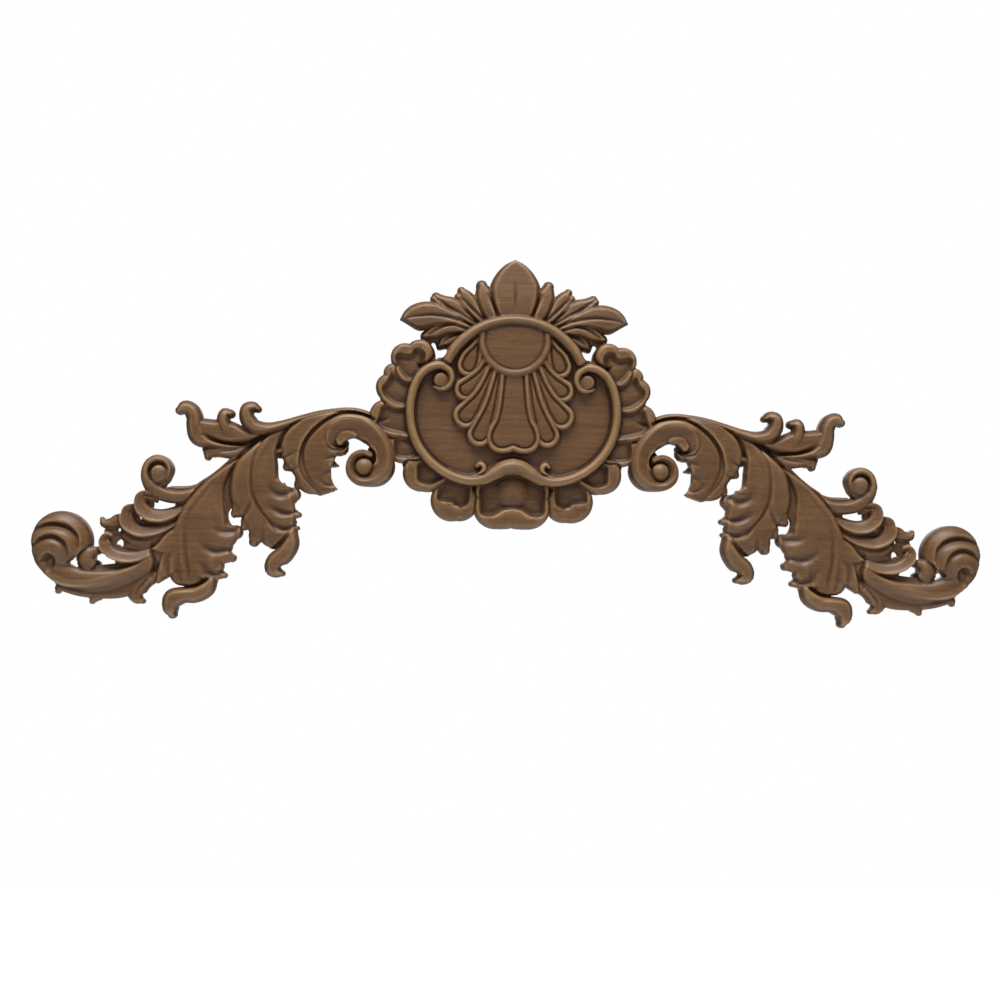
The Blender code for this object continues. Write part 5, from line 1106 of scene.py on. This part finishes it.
@dataclass
class CarvedBoard:
    """The whole applique as one closed mesh: fine carved front, upright edges and flat back.

    A front point is at (x, -height(x, z), z); its height is the relief's, read on the grid.
    """

    cartouche: ShellCartouche = field(default_factory=ShellCartouche)
    wing: ScrollWing = field(default_factory=ScrollWing)
    leaves: WingLeaves = field(default_factory=WingLeaves)
    openings: Openings = field(default_factory=Openings)
    triangles: int = 190_000
    quick_triangles: int = 60_000
    worn_arris: float = 0.45
    hand_tool_depth: float = 0.06
    hand_tool_reach: float = 8.0
    hand_tool_shares: tuple[float, float, float, float] = (0.37, 0.83, 0.41, 0.61)
    fillet_reach: float = 0.6
    fillet_share: float = 0.75
    crease_angle: float = 48.0
    back_band: float = 0.4
    # How far the relief attributes for painted shade, painted highlight, staining and wear are softened, and
    # how much painted shade is kept along the outline
    fine_reach: float = 0.9
    broad_reach: float = 3.5
    rim_reach: float = 0.8
    rim_share: float = 0.3

    def relief(self, cell: float) -> Relief:
        """Carves the right half, from what lies lowest to what lies over it.

        Where a wall meets what lies under it, the cutter's round nose leaves a small fillet: the height is
        raised by a share of what the softened height lies over it.

        Args:
            cell: Spacing of the grid.

        Returns:
            The carved relief.
        """
        relief = Relief(cell)
        self.cartouche.carve(relief)
        self.wing.carve(relief)
        self.leaves.carve(relief)
        self.openings.carve(relief)
        relief.height = np.maximum(relief.height, GROUND) + self.hand_tool_marks(relief)
        fillet = np.maximum(relief.softened(self.fillet_reach) - relief.height, 0) * (relief.inside > 0)
        relief.height = relief.height + self.fillet_share * fillet
        return relief

    def hand_tool_marks(self, relief: Relief) -> np.ndarray:
        """Slight unevenness left by gouge and sanding: three crossing waves of slowly changing length.

        height = depth (sin(x + 2 sin(a z)) + sin(b z + 2 sin(c x)) + sin(d (x + z))) / 3, where x and z
        turn once over the reach of the tool and a to d are uneven shares of that turn.

        Args:
            relief: The carving so far.

        Returns:
            The height of the marks.
        """
        step = 2 * math.pi / self.hand_tool_reach
        a, b, c, d = self.hand_tool_shares
        x, z = relief.x, relief.z
        first = np.sin(step * x + 2 * np.sin(a * step * z))
        second = np.sin(b * step * z + 2 * np.sin(c * step * x))
        third = np.sin(d * step * (x + z))
        return self.hand_tool_depth * (first + second + third) / 3

    def arrays(self, relief: Relief) -> tuple[np.ndarray, np.ndarray]:
        """Works out the points and faces of the closed mesh as whole arrays.

        The cells of both halves give the front; the same cells, turned over, give the back at y = 0. Each
        cell edge with nothing on its other side gives one upright wall. A point with fewer than four kept
        cells around it is on the rim: it settles on the outline, and lies lower by the worn arris.

        Args:
            relief: The carved right half.

        Returns:
            The points in metres, and the faces with four corners each.
        """
        half = relief.kept_cells()
        kept = np.hstack([half[:, ::-1], half])
        columns = kept.shape[1]
        lines = np.pad(kept, 1)
        around = lines[:-1, :-1].astype(int) + lines[1:, :-1] + lines[:-1, 1:] + lines[1:, 1:]
        used = around > 0
        number = np.cumsum(used).reshape(used.shape) - 1
        j, i = np.nonzero(used)
        x, z = (i - columns // 2) * relief.cell, j * relief.cell + BOTTOM
        rim = around[used] < 4
        side = np.where(x[rim] < 0, -1.0, 1.0)
        rim_x, rim_z = relief.settled(np.abs(x[rim]), z[rim])
        x, z = x.astype(float), z.astype(float)
        x[rim], z[rim] = rim_x * side, rim_z
        height = relief.sample(relief.height, x, z) - np.where(rim, self.worn_arris, 0)
        front = np.column_stack([x, -height, z])
        back = np.column_stack([x, 0 * x, z])
        points = np.vstack([front, back]) * MM
        cj, ci = np.nonzero(kept)
        corners = np.column_stack([number[cj, ci], number[cj, ci + 1], number[cj + 1, ci + 1],
                                   number[cj + 1, ci]])
        walls = []
        for shift, first, second in (((-1, 0), 0, 1), ((0, 1), 1, 2), ((1, 0), 2, 3), ((0, -1), 3, 0)):
            open_side = ~lines[cj + 1 + shift[0], ci + 1 + shift[1]]
            a, b = corners[open_side, first], corners[open_side, second]
            walls.append(np.column_stack([b, a, a + len(front), b + len(front)]))
        return points, np.vstack([corners, corners[:, ::-1] + len(front), *walls])

    def build(self) -> bpy.types.Object:
        """Makes the mesh, thins it where it is flat, shades it smoothly and writes the relief attributes
        that the finish turns into painted shade, painted highlight, staining and wear.

        Returns:
            The finished object, at the origin.
        """
        relief = self.relief(FINE_CELL)
        points, faces = self.arrays(relief)
        mesh = mesh_from_arrays("applique_grid", points, faces)
        piece = bpy.data.objects.new("applique_carving", mesh)
        bpy.context.scene.collection.objects.link(piece)
        piece.modifiers.new("Triangulate", "TRIANGULATE")
        thin = piece.modifiers.new("Decimate", "DECIMATE")
        budget = self.triangles
        thin.ratio = min(1.0, budget / (2 * len(faces)))
        evaluated = piece.evaluated_get(bpy.context.evaluated_depsgraph_get())
        finished = bpy.data.meshes.new_from_object(evaluated)
        piece.modifiers.clear()
        piece.data = finished
        finished.name = "applique_carving"
        bpy.data.meshes.remove(mesh)
        self.flatten_back(finished)
        self.shade(finished)
        self.write_shade_and_wear(finished, relief)
        return piece

    def dress(self, carving: bpy.types.Object) -> None:
        """Gives the carving its finish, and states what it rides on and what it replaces.

        Args:
            carving: The finished object.
        """
        carving.data.materials.append(StainedRubberwood().material())
        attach(carving, "root")
        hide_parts(NODE)

    def flatten_back(self, mesh: bpy.types.Mesh) -> None:
        """Puts every point of the back exactly on the plane y = 0.

        Args:
            mesh: The thinned mesh.
        """
        points = read_points(mesh)
        points[points[:, 1] > -self.back_band * MM, 1] = 0.0
        mesh.vertices.foreach_set("co", points.ravel())
        mesh.update()

    def shade(self, mesh: bpy.types.Mesh) -> None:
        """Shades smoothly, except where faces meet at more than the crease angle."""
        mesh.polygons.foreach_set("use_smooth", np.ones(len(mesh.polygons), bool))
        mesh.set_sharp_from_angle(angle=math.radians(self.crease_angle))

    def write_shade_and_wear(self, mesh: bpy.types.Mesh, relief: Relief) -> None:
        """Writes how far each point lies under or over its surroundings, for stain and wear.

        Each attribute is the height less the softened height, in millimetres: fine_relief is softened over
        about 1 mm and broad_relief over about 4 mm. At the outline, where the height ends, only a share of
        what lies under its surroundings counts, which weakens the painted shade along the rim, and on the
        back nothing does.

        Args:
            mesh: The finished mesh.
            relief: The carved right half.
        """
        points = read_points(mesh) / MM
        x, z = np.abs(points[:, 0]), points[:, 2]
        on_back = points[:, 1] > -self.back_band
        on_rim = relief.sample(relief.inside, x, z) < self.rim_reach
        for name, reach in {"fine_relief": self.fine_reach, "broad_relief": self.broad_reach}.items():
            value = relief.sample(relief.height - relief.softened(reach), x, z)
            # Along the outline only the rim share of the painted shade in hollows is kept; the back gets
            # none
            value = np.where(on_back, 0, value) * np.where(on_rim & (value < 0), self.rim_share, 1)
            layer = mesh.attributes.new(name, "FLOAT", "POINT")
            layer.data.foreach_set("value", value.astype(np.float32))


def mesh_from_arrays(name: str, points: np.ndarray, faces: np.ndarray) -> bpy.types.Mesh:
    """Puts arrays of points and four-cornered faces into a mesh.

    Args:
        name: The mesh's name.
        points: One point per line, in metres.
        faces: Four corners per line.

    Returns:
        The mesh.
    """
    mesh = bpy.data.meshes.new(name)
    mesh.vertices.add(len(points))
    mesh.vertices.foreach_set("co", points.astype(np.float32).ravel())
    mesh.loops.add(faces.size)
    mesh.loops.foreach_set("vertex_index", faces.astype(np.int32).ravel())
    mesh.polygons.add(len(faces))
    mesh.polygons.foreach_set("loop_start", np.arange(0, faces.size, 4, dtype=np.int32))
    mesh.update(calc_edges=True)
    mesh.validate()
    return mesh


def read_points(mesh: bpy.types.Mesh) -> np.ndarray:
    """Reads the points of a mesh.

    Args:
        mesh: The mesh.

    Returns:
        One point per line.
    """
    flat_points = np.empty(len(mesh.vertices) * 3)
    mesh.vertices.foreach_get("co", flat_points)
    return flat_points.reshape(-1, 3)


def linear(colour: str) -> tuple[float, float, float, float]:
    """Turns an sRGB colour to linear, by the two parts of the sRGB curve.

    Args:
        colour: The colour as a hex value.

    Returns:
        Red, green and blue, with alpha 1.
    """
    parts = (int(colour.lstrip("#")[k:k + 2], 16) / 255 for k in (0, 2, 4))
    red, green, blue = (part / 12.92 if part <= 0.04045 else ((part + 0.055) / 1.055) ** 2.4
                        for part in parts)
    return red, green, blue, 1.0


def add_node(tree: bpy.types.NodeTree, kind: str, settings: dict[str, object] | None = None,
             inputs: dict[str | int, object] | None = None) -> bpy.types.Node:
    """Adds a node with its settings, and sets or links its inputs.

    Args:
        tree: The node tree.
        kind: The node's type.
        settings: Property names and values.
        inputs: Input names or numbers, each with a value or with an output socket to link.

    Returns:
        The node.
    """
    node = tree.nodes.new(kind)
    for key, value in (settings or {}).items():
        setattr(node, key, value)
    for key, value in (inputs or {}).items():
        if isinstance(value, bpy.types.NodeSocket):
            tree.links.new(value, node.inputs[key])
        else:
            node.inputs[key].default_value = value
    return node


@dataclass(frozen=True)
class Grain:
    """A noise whose features have a length along the piece and a width across it, in millimetres."""

    length: float
    width: float
    offset: float
    detail: float
    roughness: float = 0.5


@dataclass(frozen=True)
class StainedRubberwood:
    """Rubberwood, carved and sanded, under a brown-grey wiping stain and a satin clear coat.

    Grooves and the foot of edges are painted dark, partly as staining left in hollows and partly as
    painted shade; ridges and high forms are painted paler, partly as rubbing wear and partly as painted
    highlight. The wood shows short dark pores and a faint streaky grain that run along the piece. Real
    pores are about 0.2 mm wide, and are drawn as wide as they need to be to show.
    """

    # Pale colour: of fibres, and on ridges and high forms, where it is part rubbing wear and part painted
    # highlight
    pale_wear_and_highlight: str = "#967854"
    face: str = "#644427"
    shade: str = "#4C3119"
    # Dark colour of grooves and hollows: part staining left there, part painted shade
    groove: str = "#2C1506"
    pore: str = "#381F0B"
    roughness: float = 0.46
    # How much the edge of the painted shade and staining in hollows wanders
    stain_and_shade_wander: float = 0.315
    grain_slope: float = 1.2
    streaks: Grain = Grain(90.0, 2.6, 3.1, 4.0, 0.6)
    clouds: Grain = Grain(70.0, 34.0, 7.7, 2.0)
    fibres: Grain = Grain(14.0, 0.55, 1.3, 2.0)
    pores: Grain = Grain(5.0, 0.35, 5.9, 1.0)
    wander: Grain = Grain(9.0, 5.0, 2.2, 3.0)

    def material(self) -> bpy.types.Material:
        """Builds the finish from Object coordinates and the carving's own wear attributes.

        Each colour goes over the last by a share that follows the grain or the relief. The dark groove
        colour, part staining and part painted shade, goes in by a depth that is -1.1 times the fine relief
        less 0.2 times the broad one, and wanders a little along its edges. The pale colour on ridges and
        high forms is part rubbing wear and part painted highlight.

        Returns:
            The material.
        """
        material = bpy.data.materials.new("stained_rubberwood")
        material.use_nodes = True
        tree = material.node_tree
        tree.nodes.clear()
        add = partial(add_node, tree)
        fine, broad = (add("ShaderNodeAttribute", {"attribute_name": name}).outputs["Fac"]
                       for name in ("fine_relief", "broad_relief"))
        place = add("ShaderNodeTexCoord").outputs["Object"]
        noises = []
        for grain in (self.streaks, self.clouds, self.fibres, self.pores, self.wander):
            stretched = add("ShaderNodeMapping", inputs={
                "Vector": place, "Location": (grain.offset, grain.offset * 0.7, grain.offset * 1.3),
                "Rotation": (0.0, math.radians(self.grain_slope), 0.0),
                "Scale": (1 / (grain.length * MM), 1 / (grain.width * MM), 1 / (grain.width * MM))})
            noise = add("ShaderNodeTexNoise", inputs={
                "Vector": stretched.outputs["Vector"], "Scale": 1.0, "Detail": grain.detail,
                "Roughness": grain.roughness})
            noises.append(noise.outputs["Fac"])
        streaks, clouds, fibres, pores, wander = noises
        # Depth of the painted shade and staining in grooves and hollows, from how far a point lies below its
        # surroundings
        depth = -self.stain_and_shade_wander / 2
        for value, weight in ((wander, self.stain_and_shade_wander), (broad, -0.2), (fine, -1.1)):
            depth = add("ShaderNodeMath", {"operation": "MULTIPLY_ADD"},
                        {0: value, 1: weight, 2: depth}).outputs[0]

        # What each share follows, the range over which it is read, and the shares at the range's ends
        ranges = {
            "face": (streaks, 0.3, 0.7, 0.0, 1.0),
            "clouds": (clouds, 0.25, 0.75, 0.35, 0.0),
            "fibres": (fibres, 0.35, 0.75, 0.0, 0.16),
            # Painted highlight, partly rubbing wear: paler on fine ridges and on high forms
            "fine_ridge": (fine, 0.12, 0.8, 0.0, 0.75),
            "broad_ridge": (broad, 0.6, 3.2, 0.0, 0.45),
            "patchy": (streaks, 0.2, 0.8, 0.8, 1.0),
            "pores": (pores, 0.64, 0.72, 0.0, 0.55),
            # Painted shade, partly staining: darker in grooves and hollows
            "stain_and_shade": (depth, 0.1, 1.1, 0.0, 0.92),
            "pits": (pores, 0.6, 0.72, 0.0, -1.0),
            "matt": (streaks, 0.2, 0.8, self.roughness - 0.06, self.roughness + 0.08),
        }
        sockets = ("Value", "From Min", "From Max", "To Min", "To Max")
        share = {name: add("ShaderNodeMapRange", {"clamp": True}, dict(zip(sockets, row))).outputs["Result"]
                 for name, row in ranges.items()}
        ridge = add("ShaderNodeMath", {"operation": "MAXIMUM"},
                    {0: share["fine_ridge"], 1: share["broad_ridge"]}).outputs[0]
        share["ridge"] = add("ShaderNodeMath", {"operation": "MULTIPLY"},
                             {0: ridge, 1: share["patchy"]}).outputs[0]
        # The ridge colour is part painted highlight and part wear; the last, darkest colour is part painted
        # shade and part staining
        body = linear(self.shade)
        for name, colour in (("face", self.face), ("clouds", self.shade), ("fibres", self.pale_wear_and_highlight),
                             ("ridge", self.pale_wear_and_highlight), ("pores", self.pore), ("stain_and_shade", self.groove)):
            body = add("ShaderNodeMix", {"data_type": "RGBA"},
                       {0: share[name], 6: body, 7: linear(colour)}).outputs[2]

        matt = add("ShaderNodeMath", {"operation": "MULTIPLY_ADD"},
                   {0: share["stain_and_shade"], 1: 0.12, 2: share["matt"]}).outputs[0]
        raised = add("ShaderNodeMath", {"operation": "MULTIPLY_ADD"},
                     {0: fibres, 1: 0.4, 2: share["pits"]}).outputs[0]
        bump = add("ShaderNodeBump", inputs={"Height": raised, "Strength": 0.35, "Distance": 0.12 * MM})
        surface = add("ShaderNodeBsdfPrincipled", inputs={
            "Base Color": body, "Roughness": matt, "Normal": bump.outputs["Normal"], "IOR": 1.5,
            "Specular IOR Level": 0.3, "Coat Weight": 0.12, "Coat Roughness": 0.38})
        add("ShaderNodeOutputMaterial", inputs={"Surface": surface.outputs["BSDF"]})
        return material


@dataclass(frozen=True)
class PalePaint:
    """Matt white paint on the studio floor, which scatters light evenly and shows no gloss."""

    colour: str = "#FAFAF9"
    roughness: float = 0.9

    def material(self) -> bpy.types.Material:
        """Builds the paint.

        Returns:
            The material.
        """
        material = bpy.data.materials.new("matt_white_floor_paint")
        material.use_nodes = True
        surface = material.node_tree.nodes["Principled BSDF"]
        surface.inputs["Base Color"].default_value = linear(self.colour)
        surface.inputs["Roughness"].default_value = self.roughness
        return material


@dataclass
class Studio:
    """The pale floor, soft lights, even white surroundings and the camera of the photograph."""

    floor_level: float = -0.42
    floor_size: float = 1.3
    surroundings: float = 0.36
    target: tuple[float, float, float] = (-0.0075, -0.006, -0.06985)
    distance: float = 1.2
    azimuth: float = 2.756
    elevation: float = -2.157
    roll: float = 0.885
    focal_pixels: float = 1897.0
    image_pixels: float = 1000.0
    sensor_width: float = 36.0
    lamp_target: tuple[float, float, float] = (0.0, 0.0, -0.03)

    def floor(self) -> bpy.types.Object:
        """Lays a level square of floor below the piece.

        Returns:
            The floor.
        """
        reach = self.floor_size / 2
        points = np.array([(-reach, -reach, self.floor_level), (reach, -reach, self.floor_level),
                           (reach, reach, self.floor_level), (-reach, reach, self.floor_level)])
        mesh = mesh_from_arrays("studio_floor", points, np.array([[0, 1, 2, 3]]))
        floor = bpy.data.objects.new("studio_floor", mesh)
        floor.data.materials.append(PalePaint().material())
        bpy.context.scene.collection.objects.link(floor)
        floor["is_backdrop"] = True
        return floor

    def camera(self) -> bpy.types.Object:
        """Places the camera on the ray of the photograph's view, looking at the target.

        Its forward axis is away from the target along azimuth and elevation; right and up are turned by
        the roll.

        Returns:
            The camera.
        """
        azimuth, elevation, roll = (math.radians(angle) for angle in (self.azimuth, self.elevation,
                                                                       self.roll))
        back = Vector((-math.sin(azimuth) * math.cos(elevation), -math.cos(azimuth) * math.cos(elevation),
                       math.sin(elevation)))
        right = (-back).cross(Vector((0, 0, 1))).normalized()
        up = right.cross(-back)
        turned_right = right * math.cos(roll) + up * math.sin(roll)
        turned_up = up * math.cos(roll) - right * math.sin(roll)
        turn = Matrix((turned_right, turned_up, back)).transposed()
        data = bpy.data.cameras.new("studio_camera")
        data.sensor_fit = "HORIZONTAL"
        data.sensor_width = self.sensor_width
        data.lens = self.focal_pixels * data.sensor_width / self.image_pixels
        data.clip_start = 0.05
        camera = bpy.data.objects.new("studio_camera", data)
        camera.matrix_world = Matrix.Translation(Vector(self.target) + self.distance * back) @ turn.to_4x4()
        bpy.context.scene.collection.objects.link(camera)
        bpy.context.scene.camera = camera
        return camera

    def lamp(self, name: str, place: Sequence[float], size: float, power: float,
             tall: float | None = None) -> bpy.types.Object:
        """Adds a soft rectangular lamp that faces the middle of the piece.

        Args:
            name: The lamp's name.
            place: Where it stands.
            size: Its width in metres.
            power: Its power in watts.
            tall: Its height in metres, if not the width.

        Returns:
            The lamp.
        """
        data = bpy.data.lights.new(name, "AREA")
        data.shape = "RECTANGLE"
        data.size = size
        data.size_y = tall or size
        data.energy = power
        lamp = bpy.data.objects.new(name, data)
        away = Vector(place) - Vector(self.lamp_target)
        turn = away.to_track_quat("Z", "Y").to_matrix().to_4x4()
        lamp.matrix_world = Matrix.Translation(Vector(place)) @ turn
        bpy.context.scene.collection.objects.link(lamp)
        return lamp

    def light(self) -> None:
        """Sets a broad soft lamp over the piece, a weak fill before it and one for its back.

        The surroundings are pure white behind the piece, as in the photograph, and light it more weakly.
        """
        self.lamp("top_softbox", (-0.1, -0.62, 1.38), 1.3, 44.0, 0.6)
        self.lamp("front_fill", (0.4, -2.0, 0.3), 1.6, 2.0)
        self.lamp("rear_fill", (0.2, 1.6, 0.9), 1.4, 16.0)
        world = bpy.data.worlds.new("studio_surroundings")
        world.use_nodes = True
        tree = world.node_tree
        seen = add_node(tree, "ShaderNodeLightPath").outputs["Is Camera Ray"]
        strength = add_node(tree, "ShaderNodeMapRange", inputs={
            "Value": seen, "To Min": self.surroundings, "To Max": 1.0}).outputs["Result"]
        shade = tree.nodes["Background"]
        shade.inputs["Color"].default_value = (1.0, 1.0, 1.0, 1.0)
        tree.links.new(strength, shade.inputs["Strength"])
        bpy.context.scene.world = world
        bpy.context.scene.view_settings.view_transform = "Standard"
        bpy.context.scene.view_settings.look = "None"


def write_sizes(before: object, after: object) -> None:
    """Puts the CAD box and the dressed box into plain lists of numbers, which are then dropped.

    Args:
        before: The CAD model's box.
        after: The dressed model's box.
    """
    def plain(box: object) -> list[list[float]]:
        """A box's two corners as lists."""
        return [[float(value) for value in corner] for corner in box]
    {"cad": plain(before), "visual": plain(after)}


def main() -> None:
    """Builds the carving over its CAD node, then the studio."""
    logging.basicConfig(level=logging.INFO, format="%(name)s %(message)s")
    board = CarvedBoard()
    carving = board.build()
    board.dress(carving)
    log.info("%s: %d points, %d faces", carving.name, len(carving.data.vertices),
             len(carving.data.polygons))
    studio = Studio()
    studio.floor()
    studio.light()
    studio.camera()
    log.info("studio ready")
    write_sizes(CAD_BOX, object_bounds())


if __name__ == "__main__":
    main()
